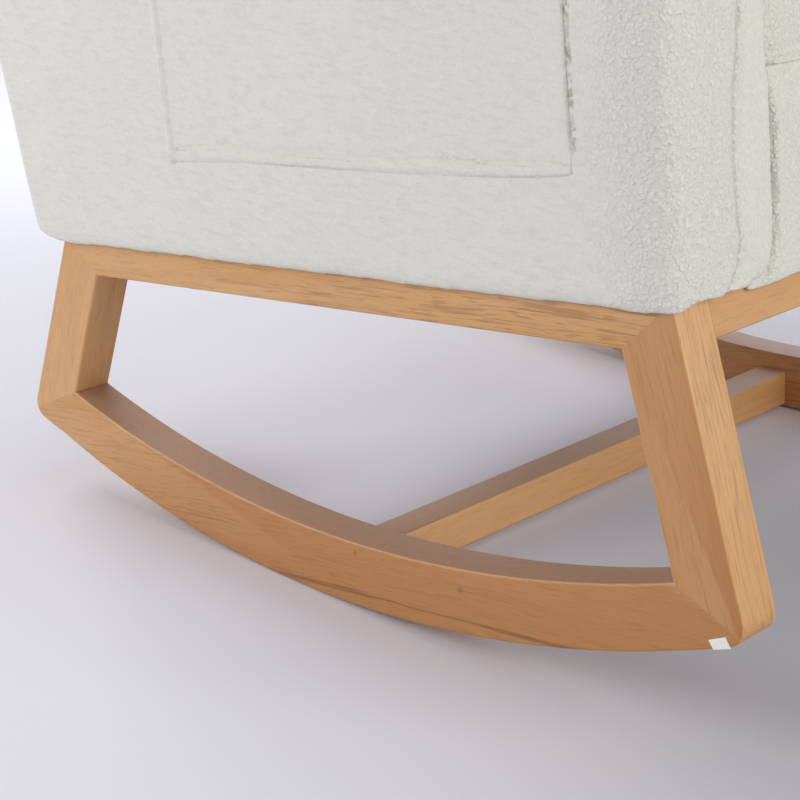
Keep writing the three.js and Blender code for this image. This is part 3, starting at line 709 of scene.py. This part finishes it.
def makeCrossBoards():
    for node in ("front_cross_rail", "rear_cross_rail", "rocker_stretcher"):
        co = toOwn(corners(node))
        x0, x1 = co[:, 0].min() - frameSet["buttGap"], co[:, 0].max() + frameSet["buttGap"]
        form, near, far, weight = prism(outlineOf(node)[0], x0, x1)
        for ends in zip(near, far):
            form.edges.get(ends)[weight] = 1.0
        piece = eased(linkForm(node.replace("_", "-") + "-board", form))
        if node == "rocker_stretcher":
            for label in ("right", "left"):
                drilled(piece, dowelHoles(label))
        own = toOwn(readPoints(piece.data))
        shift = {"front_cross_rail": 0.31, "rear_cross_rail": 0.77, "rocker_stretcher": 1.3}[node]
        grain = np.stack([own[:, 0] + shift, own[:, 2] + shift, own[:, 1]], 1)
        low = node == "rocker_stretcher"
        # painted sheen on the upward faces of the stretcher's far half
        pale = step(own[:, 0], -0.2, 0.1) * 0.8 if low else 0.0
        # painted shade: the cross rails under the seat take some of the deeper tone
        woodFinished(piece, node, grain, 0.08, 0.0 if low else 0.3, pale)


makeSideBoards()
makeCrossBoards()
print("chair: wooden base made")


# Upholstery
def remeshed(name, node, voxel):
    return modified(linkForm(name, welded(node)), "REMESH", mode="VOXEL", voxel_size=voxel)


def smoothed(piece, rounds):
    return modified(piece, "SMOOTH", factor=0.5, iterations=rounds)


def finer(piece):
    return modified(piece, "SUBSURF", levels=1, render_levels=1)


def inflated(piece, pressure, cap, hold, frames=20):
    start = readPoints(piece.data)
    cloth = piece.modifiers.new("cloth", "CLOTH")
    settings = dict(quality=4, mass=0.3, use_pressure=True, uniform_pressure_force=pressure)
    for key, value in settings.items():
        setattr(cloth.settings, key, value)
    cloth.settings.effector_weights.gravity = 0
    cloth.collision_settings.use_collision = False
    cloth.collision_settings.use_self_collision = False
    cloth.point_cache.frame_start = 1
    cloth.point_cache.frame_end = frames
    for moment in range(1, frames + 1):
        world.frame_set(moment)
    applied(piece)
    world.frame_set(1)
    push = readPoints(piece.data) - start
    length = np.linalg.norm(push, axis=1, keepdims=True)
    push *= np.minimum(1.0, cap / np.maximum(length, 1e-9))
    push *= hold(toOwn(start))[:, None]
    writePoints(piece.data, start + push)


def clouds(name, size):
    texture = bpy.data.textures.new(name, "CLOUDS")
    texture.noise_scale = size
    texture.noise_depth = 1
    return texture


lumps = clouds("pileLumps", 0.012)
curls = clouds("pileCurls", 0.0045)
slack = clouds("clothSlack", 0.11)


def tufted(piece, lump=0.0010, curl=0.0008, wave=0.002):
    sleek = piece.data.attributes.get("sleek")
    group = ""
    if sleek:  # short pile stands up less
        group = "curly"
        values = np.zeros(len(piece.data.vertices))
        sleek.data.foreach_get("value", values)
        members = piece.vertex_groups.new(name=group)
        levels = np.round((1 - values * 0.7) * 10).astype(int)
        for level in np.unique(levels):
            members.add(np.nonzero(levels == level)[0].tolist(), level / 10, "REPLACE")
    for texture, strength in ((slack, wave), (lumps, lump), (curls, curl)):
        if strength:
            settings = dict(texture=texture, texture_coords="LOCAL", strength=strength, mid_level=0.5)
            withModifier(piece, "DISPLACE", vertex_group="" if texture is slack else group, **settings)
    applied(piece)


def upholstered(piece, node, fill, body="chair", **tufts):
    tufted(piece, **tufts)
    finished(piece, pile, node, body)


def ownEdit(piece, change):  # change is given the points and normals in the chair's own frame
    own = toOwn(readPoints(piece.data))
    normals = readNormals(piece.data) @ turn
    writePoints(piece.data, fromOwn(change(own, normals)))


def sewLines(piece, seam=None, crease=None, gap=None):  # each is a distance in metres and a depth
    count = len(piece.data.vertices)
    away, deep = np.zeros((count, 3)), np.zeros((count, 3))
    for i, line in enumerate((seam, crease, gap)):
        if line is not None:
            away[:, i], deep[:, i] = line
    paint(piece.data, lines=away, lineDepth=np.clip(deep, 0, 1))


def squareUp(own, normals, amount, where):  # draws a rounded upright edge back out, in place
    level = np.linalg.norm(normals[:, :2], axis=1)
    spread = np.abs(normals[:, 0]) + np.abs(normals[:, 1]) - level
    own[:, :2] += normals[:, :2] * (amount * spread * where)[:, None]


rippleWaves = ((31, 1.0, 0.5), (67, 2.1, 0.35), (97, 0.7, 0.15))  # how close, how shifted and how strong


def ripple(y, seed):
    return sum(np.sin(y * close + shift * seed) * share for close, shift, share in rippleWaves)


def frayed(z, close, shift=0.0):  # how an open seam's width comes and goes along its height
    return 0.62 + 0.22 * np.sin(z * 260) + 0.16 * np.sin(z * close + shift)


def rearLine(z):
    return chair["backFoot"] + z * math.tan(chair["backLean"])


def tuckedUnder(own, reach=0.036, rise=0.023):  # the upholstery's rounded lower rear corner
    _, y, z = own.T  # views, so own changes with them
    start = rearLine(z) - reach
    back = y - start
    down = rise - z
    inside = (back > 0) & (down > 0)
    span = np.hypot(back / reach, down / rise)
    scale = np.where(inside & (span > 1), 1 / np.maximum(span, 1e-9), 1.0)
    y[:] = np.where(scale < 1, start + back * scale, y)
    z[:] = np.where(scale < 1, rise - down * scale, z)
    return own


pocketSet = dict(
    voxel=0.003,
    front=-0.193,
    rear=0.187,
    top=0.262,
    thin=0.0018,  # its edges, above the side of the arm
    proud=0.0030,  # its front edge
    mouth=0.0087,  # its open top
    sunk=0.0012,  # its inner side lies in the arm's pile
    creaseAlong=(-0.182, -0.169, -0.138, -0.096, -0.070, -0.017, 0.015, 0.072, 0.108, 0.158, 0.178),
    creaseUp=(0.0850, 0.0844, 0.0837, 0.0854, 0.0849, 0.0808, 0.0812, 0.0830, 0.0844, 0.0819, 0.0808),
    creaseDepth=0.0014,
    edgeAlong=(-0.190, -0.160, -0.101, -0.068, -0.042, -0.016, 0.030, 0.105, 0.180),
    edgeDrop=(-0.0042, -0.0016, 0.0012, 0.0022, 0.0016, 0.0005, 0.0004, 0.0010, 0.0036),
)


armSet = dict(
    voxel=0.0045,
    puff=0.0035,  # how far the outer panel swells
    frontPuff=0.0015,
    innerEdge=0.019,  # how much squarer the front's inner edge is than the plain solid's
    rearEdge=0.013,
    rearLip=0.0038,  # the side cloth wraps round to the back
    seamDepth=0.0018,
    seamWidth=0.0030,
    seamHeights=(0.0, 0.0065, 0.017, 0.034, 0.047, 0.08, 0.115, 0.135, 0.17, 0.35),
    seamAcross=(0.0465, 0.053, 0.059, 0.0625, 0.0605, 0.059, 0.0605, 0.063, 0.067, 0.067),
    edgeHeights=(0.0, 0.002, 0.008, 0.015, 0.03, 0.043, 0.12, 0.135, 0.35),
    edgeInset=(0.0115, 0.0095, 0.0055, 0.0034, 0.0006, 0.0, 0.0, 0.0035, 0.0035),
)


def sideSwell(y, z):  # how far the arm's outer panel stands out
    length = rearLine(z) - chair["coverFront"]
    along = np.clip((y - chair["coverFront"]) / length, 0, 1)
    up = np.clip(z / chair["armHeight"], 0, 1)
    return armSet["puff"] * np.clip(16 * along * (1 - along) * up * (1 - up), 0, 1) ** 0.5


def makeArm(label, side):
    outer, width, front, top = (chair[k] for k in ("coverOuter", "armWidth", "coverFront", "armHeight"))
    piece = remeshed(label + "-arm-upholstery", label + "_arm_cover", armSet["voxel"])
    smoothed(piece, 3)

    def shape(own, normals):
        u = outer - side * own[:, 0]  # inward from the outer face
        y, z = own[:, 1].copy(), own[:, 2].copy()
        behind = rearLine(z) - y
        nearFront = 1 - step(y, front + 0.02, front + 0.035)
        squareUp(own, normals, armSet["innerEdge"], step(u, 0.055, 0.075) * nearFront)
        rearOuter = (1 - step(u, 0.02, 0.035)) * (1 - step(behind, 0.03, 0.05))
        squareUp(own, normals, armSet["rearEdge"], rearOuter)
        own[:, 1] += armSet["rearLip"] * (1 - step(u, 0.006, 0.011)) * (1 - step(behind, 0.008, 0.022))
        onSide = step(-u, -0.012, -0.004) * (normals[:, 0] * side > 0.3)
        own[:, 0] += side * onSide * sideSwell(y, z)
        onFront = (normals[:, 1] < -0.3) & (y < front + 0.012)
        across = np.clip(u / width, 0, 1)
        own[:, 1] -= onFront * armSet["frontPuff"] * (4 * across * (1 - across)) ** 0.7 * step(z, 0.0, 0.03)
        skirt = 1 - step(z, 0.004, 0.03)
        outward = (u < 0.012) | (y < front + 0.012)
        lift = 0.0038 * step(u, 0.006, 0.03) + 0.0008 * step(u, 0.045, 0.05)
        lift *= 1 - step(y, front + 0.01, front + 0.03)
        hang = ripple(y + 3 * u, 1.3 + side) * 0.0008 - 0.0004 + lift
        own[:, 2] += outward * skirt * hang
        own[:, 2] = np.where(outward & (normals[:, 2] < -0.45) & (z < 0.005), hang, own[:, 2])
        # the front's inner edge swings outward near the rail
        inset = np.interp(z, armSet["edgeHeights"], armSet["edgeInset"])
        nearEdge = step(u, 0.045, 0.094) * step(-y, -front - 0.03, -front - 0.012)
        own[:, 0] += side * inset * nearEdge
        return tuckedUnder(own)

    ownEdit(piece, shape)
    smoothed(piece, 2)
    finer(piece)

    def sew(own, normals):
        u = outer - side * own[:, 0]
        y, z = own[:, 1].copy(), own[:, 2].copy()
        squareUp(own, normals, 0.004, step(u, 0.055, 0.075) * (1 - step(y, front + 0.01, front + 0.02)))
        line = np.interp(z, armSet["seamHeights"], armSet["seamAcross"])
        frontFace = (normals[:, 1] < -0.35) & (y < front + 0.02)
        topFace = (normals[:, 2] > 0.5) & (z > top - 0.02)
        seamed = frontFace | topFace
        away = u - np.where(frontFace, line, 0.067)
        depth = falloff(away, armSet["seamWidth"]) * seamed
        beside = falloff(np.abs(away) - 0.008, 0.006) * seamed
        # painted shade: a dark ragged line on the arm's side along the open gap at the pocket's front edge
        parted = step(z, 0.080, 0.1) * (z < pocketSet["top"]) * (u < 0.012) * frayed(z, 477)
        fromPocket = (y - pocketSet["front"] + 0.0012) * 0.8
        sewLines(piece, seam=(away, seamed * 0.28), gap=(fromPocket, parted * 0.6))
        strip = frontFace * step(away, -0.001, 0.004) * 0.7
        corner = step(-y, -front - 0.075, -front - 0.02)  # the pile stands up towards the front
        paint(piece.data, sleek=np.where(frontFace, strip, (1 - corner) * (u < 0.014)))
        return own + normals * (beside * 0.0008 - depth * armSet["seamDepth"])[:, None]

    ownEdit(piece, sew)
    upholstered(piece, label + "_arm_cover", 0.85)


makeArm("right", -1)
makeArm("left", 1)
print("chair: arms upholstered")


def makePocket(label, side):
    node = label + "_side_pocket"
    piece = remeshed(label + "-pocket", node, pocketSet["voxel"])
    low, high = ownBox(node)
    smoothed(piece, 2)
    finer(piece)

    def shape(own, normals):
        u = np.abs(own[:, 0]) - chair["coverOuter"]
        y, z = own[:, 1], own[:, 2]
        fromFront, fromRear, fromBottom, fromTop = y - low[1], high[1] - y, z - low[2], high[2] - z
        rim = np.minimum(np.minimum(fromFront, fromRear), fromBottom)
        slackness = (1 - step(fromTop, 0.0, 0.11)) * step(rim, 0.0, 0.09)
        lifted = (1 - step(fromFront, 0.004, 0.03)) * step(fromBottom, 0.0, 0.05)
        height = pocketSet["thin"] + (pocketSet["proud"] - pocketSet["thin"]) * lifted
        height *= 0.05 + 0.95 * step(np.minimum(fromBottom, fromRear), 0.0, 0.007)
        height = height * (1 - slackness) + pocketSet["mouth"] * slackness
        drop = np.interp(y, pocketSet["edgeAlong"], pocketSet["edgeDrop"])
        own[:, 2] -= drop * (1 - step(fromBottom, 0.002, 0.01))
        crease = z - np.interp(y, pocketSet["creaseAlong"], pocketSet["creaseUp"])
        skin = step(u, 0.004, 0.009)
        folded = falloff(crease, 0.0020) * step(fromFront, 0.002, 0.01) * step(fromRear, 0.004, 0.02)
        rolls = falloff(crease + 0.0055, 0.005) * 0.0012 + falloff(fromRear - 0.0055, 0.004) * 0.0016
        height += skin * rolls
        height -= skin * folded * pocketSet["creaseDepth"]
        height = height * np.clip(u / (high[0] - low[0]), 0, 1) - pocketSet["sunk"]
        own[:, 0] = side * (chair["coverOuter"] + sideSwell(y, z) + height)
        patchy = 0.7 + 0.3 * np.sin(y * 43 + 1.0)
        inner = fromRear - 0.0105
        nearStitch = np.abs(fromBottom - 0.0025) < np.abs(inner)
        seam = np.where(nearStitch, fromBottom - 0.0025, inner)
        seamDepth = np.where(nearStitch, 0.16 + 0.1 * np.sin(y * 37), 0.08) * skin
        # painted shade: a dark ragged line in the open gap along the front edge, and shade along the fold
        # near the lower edge
        gap = (fromFront, frayed(z, 611, 1) * 0.2 * step(fromBottom, 0.008, 0.03))
        creaseDeep = 0.7 * patchy * skin * step(fromFront, 0.0, 0.006) * step(fromRear, 0.003, 0.02)
        sewLines(piece, seam=(seam, seamDepth), crease=(crease, creaseDeep), gap=gap)
        paint(piece.data, sleek=1.0)
        return own

    ownEdit(piece, shape)
    upholstered(piece, node, 0.2)


makePocket("right", -1)
makePocket("left", 1)
print("chair: pockets sewn on")


cushionSet = dict(
    voxel=0.006,
    start=-0.004,  # it starts smaller, as it swells
    pressure=4.0,
    cap=0.012,
    crown=0.016,
    seamInset=0.013,
    seamDepth=0.0035,
    seamWidth=0.003,
    solidEdge=0.024,
    lowerEdge=0.006,
)


def makeCushion():
    piece = remeshed("seat-cushion-pile", "seat_cushion", cushionSet["voxel"])
    low, high = ownBox("seat_cushion")
    round, crisp = cushionSet["solidEdge"], cushionSet["lowerEdge"]

    def hold(own):  # it stays flat where it rests on the deck
        return step(own[:, 2], low[2] + 0.012, low[2] + 0.05) * 0.85 + 0.05

    def squared(own, normals):  # a tighter lower edge than the plain solid's
        rise = own[:, 2] - low[2]
        was = round - np.sqrt(np.maximum(round**2 - np.maximum(round - rise, 0) ** 2, 0))
        now = crisp - np.sqrt(np.maximum(crisp**2 - np.maximum(crisp - rise, 0) ** 2, 0))
        level = normals[:, :2] / np.maximum(np.linalg.norm(normals[:, :2], axis=1, keepdims=True), 0.2)
        own[:, :2] += level * ((was - now) * (rise < round) * step(was, 0.0, 0.002))[:, None]
        return own + normals * (cushionSet["start"] * hold(own))[:, None]

    ownEdit(piece, squared)
    smoothed(piece, 1)

    inflated(piece, cushionSet["pressure"], cushionSet["cap"], hold)
    finer(piece)

    def sew(own, normals):
        z = own[:, 2]
        side = np.abs(normals[:, 2]) < 0.85
        lower = z - low[2] - cushionSet["seamInset"]
        upper = z - (high[2] - cushionSet["crown"] - cushionSet["seamInset"])
        nearest = np.where(np.abs(lower) < np.abs(upper), lower, upper)
        band = falloff(nearest, cushionSet["seamWidth"])
        sewLines(piece, seam=(nearest, side * 0.45 * (z > (low[2] + high[2]) / 2)))
        return own - normals * (band * side * cushionSet["seamDepth"])[:, None]

    ownEdit(piece, sew)
    upholstered(piece, "seat_cushion", 0.8, "cushion")


makeCushion()
print("chair: cushion filled")


backSet = dict(
    voxel=0.007,
    pressure=3.0,
    cap=0.010,
    seamAt=0.1,  # ahead of the outer face
    seamDepth=0.004,
    seamWidth=0.0035,
    squarer=0.85,  # how far its rear edges are drawn out to square
    wingFlat=0.022,  # the wings lie flat on the arms below this height above them
    outerDrop=0.0065,
    rearDrop=0.008,
    panelVoxel=0.003,
    panelBorder=0.008,  # the outer cloth's border reaches into the pad
    panelCorner=0.0045,
)


backCos, backSin = math.cos(chair["backLean"]), math.sin(chair["backLean"])


def backOwn(own):  # the back's leaned frame: x, behind its outer face, up
    y, z = own[:, 1] - chair["backFoot"], own[:, 2]
    return np.stack([own[:, 0], y * backCos - z * backSin, y * backSin + z * backCos], 1)


def fromBack(x, behind, up):
    y, z = behind * backCos + up * backSin, up * backCos - behind * backSin
    return np.stack([x, chair["backFoot"] + y, z], -1)


def makeBack():
    armTop, armsOuter = chair["armHeight"], chair["coverOuter"]
    piece = remeshed("back-pad-pile", "back_pad", backSet["voxel"])
    smoothed(piece, 2)

    edge = backOwn(toOwn(corners("back_pad"))).max(0)

    def hold(own):  # the front swells, and eases towards its edges and the arms
        x, behind, up = backOwn(own).T
        inward = step(edge[0] - np.abs(x), 0.0, 0.09) * step(edge[2] - up, 0.0, 0.13)
        return step(-behind, 0.105, 0.125) * step(up, 0.35, 0.45) * inward

    inflated(piece, backSet["pressure"], backSet["cap"], hold)
    finer(piece)

    def sew(own, normals):
        back = backOwn(own)
        border = (normals[:, 1] < 0.6) & (back[:, 2] > armTop - 0.03)
        gap = -back[:, 1] - backSet["seamAt"]
        sewLines(piece, seam=(gap, border * 0.5))
        return own - normals * (falloff(gap, backSet["seamWidth"]) * border * backSet["seamDepth"])[:, None]

    def settled(own, normals):  # square against the outer cloth, and flat where its wings lie on the arms
        x, behind, up = backOwn(own).T
        free = own[:, 2] > armTop - 0.01
        half, rear, crown = np.abs(x[free]).max(), behind[free].max(), up.max()
        nearRear = step(behind, rear - 0.022, rear - 0.005) * free * backSet["squarer"]
        atSide = step(np.abs(x), half - 0.016, half - 0.004)
        atTop = step(up, crown - 0.016, crown - 0.004)
        behind = behind + (rear - behind) * nearRear * np.maximum(atSide, atTop)
        x = x + (half * np.sign(x) - x) * nearRear * atSide
        own = fromBack(x, behind, up + (crown - up) * nearRear * atTop)
        top = armTop + 0.0004
        low = (np.abs(own[:, 0]) > armsOuter - chair["armWidth"] - 0.002) & (own[:, 2] > top - 0.02)
        rise = np.maximum(own[:, 2] - top, 0)
        under = low & (normals[:, 2] < -0.25) & (rise < backSet["wingFlat"])
        own[:, 2] -= under * rise * (1 - step(rise, 0.0, backSet["wingFlat"]) * 0.9)
        outward = step(np.abs(own[:, 0]), armsOuter - 0.020, armsOuter - 0.006)
        rearward = step(behind, -0.034, -0.002)
        own[:, 2] -= under * np.maximum(outward * backSet["outerDrop"], rearward * backSet["rearDrop"])
        return tuckedUnder(own)

    ownEdit(piece, sew)
    ownEdit(piece, settled)
    upholstered(piece, "back_pad", 0.75)

    panel = remeshed("outer-back-cloth", "outer_back_panel", backSet["panelVoxel"])

    def wrapped(own, normals):  # it lies between the arms' cloth, with softly turned edges
        x, y, z = tuckedUnder(own).T
        side, crown = np.abs(x), z.max()
        half, free = side.max(), z >= armTop + 0.02
        for reach, round, where in ((0.009, 0.010, ~free), (0.014, 0.018, free)):
            past = np.clip(side - (half - reach), 0, reach - 0.0001)
            y -= (round - np.sqrt(round**2 - past**2)) * where
        atCorner = (side > half - 0.035) & (z > crown - 0.035)
        border = (past > 0) | (z > crown - 0.016) | atCorner
        y -= backSet["panelBorder"] * border * (normals[:, 1] < -0.1) * (z > armTop)
        wider = backSet["panelCorner"] * step(z, 0.54, 0.68) * step(side, 0.25, 0.29)
        x += np.sign(x) * wider
        return own

    ownEdit(panel, wrapped)
    smoothed(panel, 1)
    upholstered(panel, "outer_back_panel", 0.3, lump=0.0008, wave=0.001)


makeBack()
print("chair: back upholstered")


apronSet = dict(voxel=0.003, forward=0.0068, rollBack=0.0062, hem=-0.0022)


def makeApron():
    piece = remeshed("front-apron-pile", "front_apron", apronSet["voxel"])
    smoothed(piece, 2)

    half = np.abs(toOwn(corners("front_apron"))[:, 0]).max()

    def shape(own, normals):
        x, y, z = own.T
        side, up = np.sign(x), z.copy()
        front = 1 - step(y, -0.2515, -0.2475)
        hem = apronSet["hem"] + ripple(x, 0.4) * 0.0008
        z += front * (1 - step(up, 0.0066, 0.035)) * (hem - 0.0065)
        inset = np.interp(z, armSet["edgeHeights"], armSet["edgeInset"])
        tucked = inset + 0.011 * (1 - step(z, 0.0, 0.035))
        x += side * (1 - step(half - np.abs(x), 0.002, 0.02)) * tucked
        fromArm = half + inset - np.abs(x)
        y -= front * apronSet["forward"] * (1 - step(up, 0.098, 0.124) * 0.85)
        y += front * apronSet["rollBack"] * (1 - step(fromArm, 0.004, 0.014)) * step(up, 0.0, 0.03)
        z += 0.0065 * step(up, 0.09, 0.1215)
        # painted shade: a dark ragged line where the apron tucks in beside each arm, with softer painted
        # shade along it
        crack = np.abs(fromArm - 0.0066 + 0.0006 * np.sin(up * 190))
        ragged = 0.7 + 0.2 * np.sin(up * 240) + 0.1 * np.sin(up * 530 + 1)
        parting = front * (0.3 + 0.7 * falloff(up - 0.07, 0.04))
        sewLines(piece, seam=(crack * 0.3, parting * 0.32), gap=(crack * 1.5, ragged * parting))
        paint(piece.data, sleek=0.25)
        return own

    finer(piece)
    ownEdit(piece, shape)
    upholstered(piece, "front_apron", 0.4, lump=0.0012, curl=0.0009)


makeApron()
print("chair: apron made")


# Under the cushion
def makeDeck():
    deck = remeshed("seat-deck-pad", "seat_deck", 0.006)
    smoothed(deck, 3)
    tufted(deck, lump=0.0006, curl=0.0, wave=0.003)
    finished(deck, darkCloth, "seat_deck")
    deck.data.materials.append(pile)  # a strip of the pile cloth wraps its front edge
    own = toOwn(readPoints(deck.data))
    front = own[:, 1].min() + 0.07
    for face in deck.data.polygons:
        if own[face.vertices[0], 1] < front:
            face.material_index = 1


def thinCloth(name, thickness, across, along, shape):
    form = bmesh.new()
    grid = [form.verts.new(shape(i / across, j / along)) for i in range(across + 1) for j in range(along + 1)]
    for i in range(across):
        for j in range(along):
            k = i * (along + 1) + j
            form.faces.new((grid[k], grid[k + 1], grid[k + along + 2], grid[k + along + 1]))
    return modified(linkForm(name, form), "SOLIDIFY", thickness=thickness, offset=0.0)


sheetSet = dict(
    coverThickness=0.0008,
    coverSag=0.00018,
    coverPull=0.00025,
    strapThickness=0.0014,
    strapGive=0.00024,
    strapRib=0.0001,
)


def makeDustCover():
    low, high = ownBox("dust_cover")
    size = high - low

    def shape(u, v):
        slackness = (u * (1 - u) * v * (1 - v)) ** 0.5 * 4
        pull = (math.sin(u * 23) + math.sin(v * 19 + 2)) * sheetSet["coverPull"]
        z = (low[2] + high[2]) / 2 + (pull - sheetSet["coverSag"]) * slackness
        return fromOwn([low[0] + size[0] * u, low[1] + size[1] * v, z])

    cover = thinCloth("dust-cloth", sheetSet["coverThickness"], 60, 60, shape)
    finished(cover, darkCloth, "dust_cover")


def makeStraps():
    for number in (1, 2, 3):
        node = "back_strap_" + str(number)
        co = backOwn(toOwn(corners(node)))
        low, size = co.min(0), co.max(0) - co.min(0)

        def shape(u, v):
            rib = sheetSet["strapRib"] * math.cos(v * 22 * math.pi)
            deep = low[1] + size[1] / 2 + sheetSet["strapGive"] * math.sin(u * math.pi) + rib
            return fromOwn(fromBack(low[0] + size[0] * u, deep, low[2] + size[2] * v))

        strap = thinCloth("back-strap-" + str(number), sheetSet["strapThickness"], 40, 22, shape)
        finished(strap, webbing, node)


stickerSet = dict(
    corners=((-0.2681, -0.1989), (-0.2806, -0.1943), (-0.2840, -0.2010), (-0.2715, -0.2044)),
    boardFace=-0.3020,
    thickness=0.0004,
)


def makeBareSticker():
    face = stickerSet["boardFace"]
    form = prism(stickerSet["corners"], face - stickerSet["thickness"], face)[0]
    bmesh.ops.subdivide_edges(form, edges=form.edges[:], cuts=3, use_grid_fill=True)
    sticker = linkForm("bare-sticker", form)
    finished(sticker, paper, "blank_sticker")
    flatShaded(sticker)


def makePlainFinishes():
    looks = dict(base_bolt=steel, barrel_nut=steel, seat_spring=steel, back_strap=webbing)
    looks.update(dust_cover=darkCloth, seat_deck=darkCloth, blank_sticker=paper)
    for name, node in nodes.items():
        look = next((look for start, look in looks.items() if name.startswith(start)), innerWood)
        for slot in node.material_slots:
            slot.material = look
        if look is innerWood:  # the grain runs along each board's longest side
            co = toOwn(corners(name))
            order = np.argsort(co.min(0) - co.max(0))
            shift = (len(name) * 0.37, len(name) * 0.11, 0)
            paint(node.data, grain=co[:, order] + shift, marks=0.0, ripe=0.0, pale=0.0)


makeDeck()
makeDustCover()
makeStraps()
makeBareSticker()
makePlainFinishes()
print("chair: inner pieces finished")


# Floor and light
floorSet = dict(
    middle=(222, 221, 230),
    # painted light: the floor grows paler further from the camera
    far=(237, 238, 247),
    # painted shadow: the chair's shadow on the floor in front of it and to the right
    paintedShadow=(191, 190, 196),
    # painted light: a paler pool on the floor under the chair
    under=(234, 233, 245),
    studio=(240, 240, 245),  # the pale studio round it
    reach=30.0,
    fade=(0.9, 2.3),  # where the floor passes into the studio's tone
)


def seenDirectly(s):  # 1 for the camera and for reflections, which see the pale studio round the floor
    rays = ("Is Camera Ray", "Is Glossy Ray", "Is Transmission Ray")
    camera, glossy, through = (s.node("LightPath", out=ray) for ray in rays)
    return s.calc("MAXIMUM", s.calc("MAXIMUM", camera, glossy), through)


def makeStage():
    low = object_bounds()[0][2]
    form = bmesh.new()
    bmesh.ops.create_circle(form, cap_ends=True, segments=96, radius=floorSet["reach"])
    floor = linkForm("paleFloor", form)
    floor.location = (0, 0, low - 0.0003)
    floor.rotation_euler = (0, 0, math.atan2(cameraSet["look"][1], cameraSet["look"][0]) - math.pi / 2)
    material, s, place = newFinish("paleFloor", srgb(*floorSet["middle"]))
    across, ahead, _ = place.parts()
    # painted shadow in front of the chair to the right, and painted light under the chair and further back
    paintedShadow = across.ramp(-0.12, 0.28) * (0.0 - ahead).ramp(-0.12, 0.32)
    away = place.vector("DISTANCE", (0.0, 0.06, 0.0), "Value")
    tone = away.ramp(0.12, 0.42).mix(srgb(*floorSet["under"]), srgb(*floorSet["middle"]))
    tone = ahead.ramp(0.2, 1.2).mix(tone, srgb(*floorSet["far"]))
    tone = paintedShadow.mix(tone, srgb(*floorSet["paintedShadow"]))
    outside = away.ramp(*floorSet["fade"]) * seenDirectly(s)
    surfaced(material, {
        "Base Color": outside.mix(tone, (0, 0, 0, 1)),
        "Roughness": 1.0,
        "Specular IOR Level": 0.0,
        "Emission Color": outside.mix((0, 0, 0, 1), srgb(*floorSet["studio"])),
        "Emission Strength": 1.0,
    })
    floor.data.materials.append(material)


lightSet = dict(
    air=(0.96, 0.975, 1.0),
    airLevel=0.33,
    lampSize=2.0,
    aim=(0, 0, 0.3),
    lamps=(  # name, place, power and tint
        ("rearLeftSoftbox", (-2.4, 2.2, 1.6), 44, (1, 1, 1)),
        ("sideSoftbox", (-3.0, 0.0, 1.4), 14, (1, 1, 1)),
        ("frontSoftbox", (0.3, -3.0, 1.4), 49, (1, 0.99, 0.97)),
        ("cornerSoftbox", (-2.2, -2.4, 1.6), 11, (1, 1, 1)),
        ("rearSoftbox", (0.5, 3.0, 1.8), 65, (1, 1, 1)),
    ),
)


def makeLight():
    sky = bpy.data.worlds.new("studioAir")
    sky.use_nodes = True
    air = tuple(value * lightSet["airLevel"] for value in lightSet["air"])
    backdrop = seenDirectly(Shade(sky.node_tree)).mix((*air, 1), srgb(*floorSet["studio"]))
    feed(sky.node_tree.nodes["Background"], {"Color": backdrop, "Strength": 1.0})
    world.world = sky
    for name, place, power, tint in lightSet["lamps"]:
        data = bpy.data.lights.new(name, "AREA")
        data.shape = "DISK"
        data.size = lightSet["lampSize"]
        data.energy = power
        data.color = tint
        aimed(name, data, place, Vector(lightSet["aim"]) - Vector(place))
    world.view_settings.view_transform = "Standard"


makeStage()
makeLight()

print("chair: stage and light set")
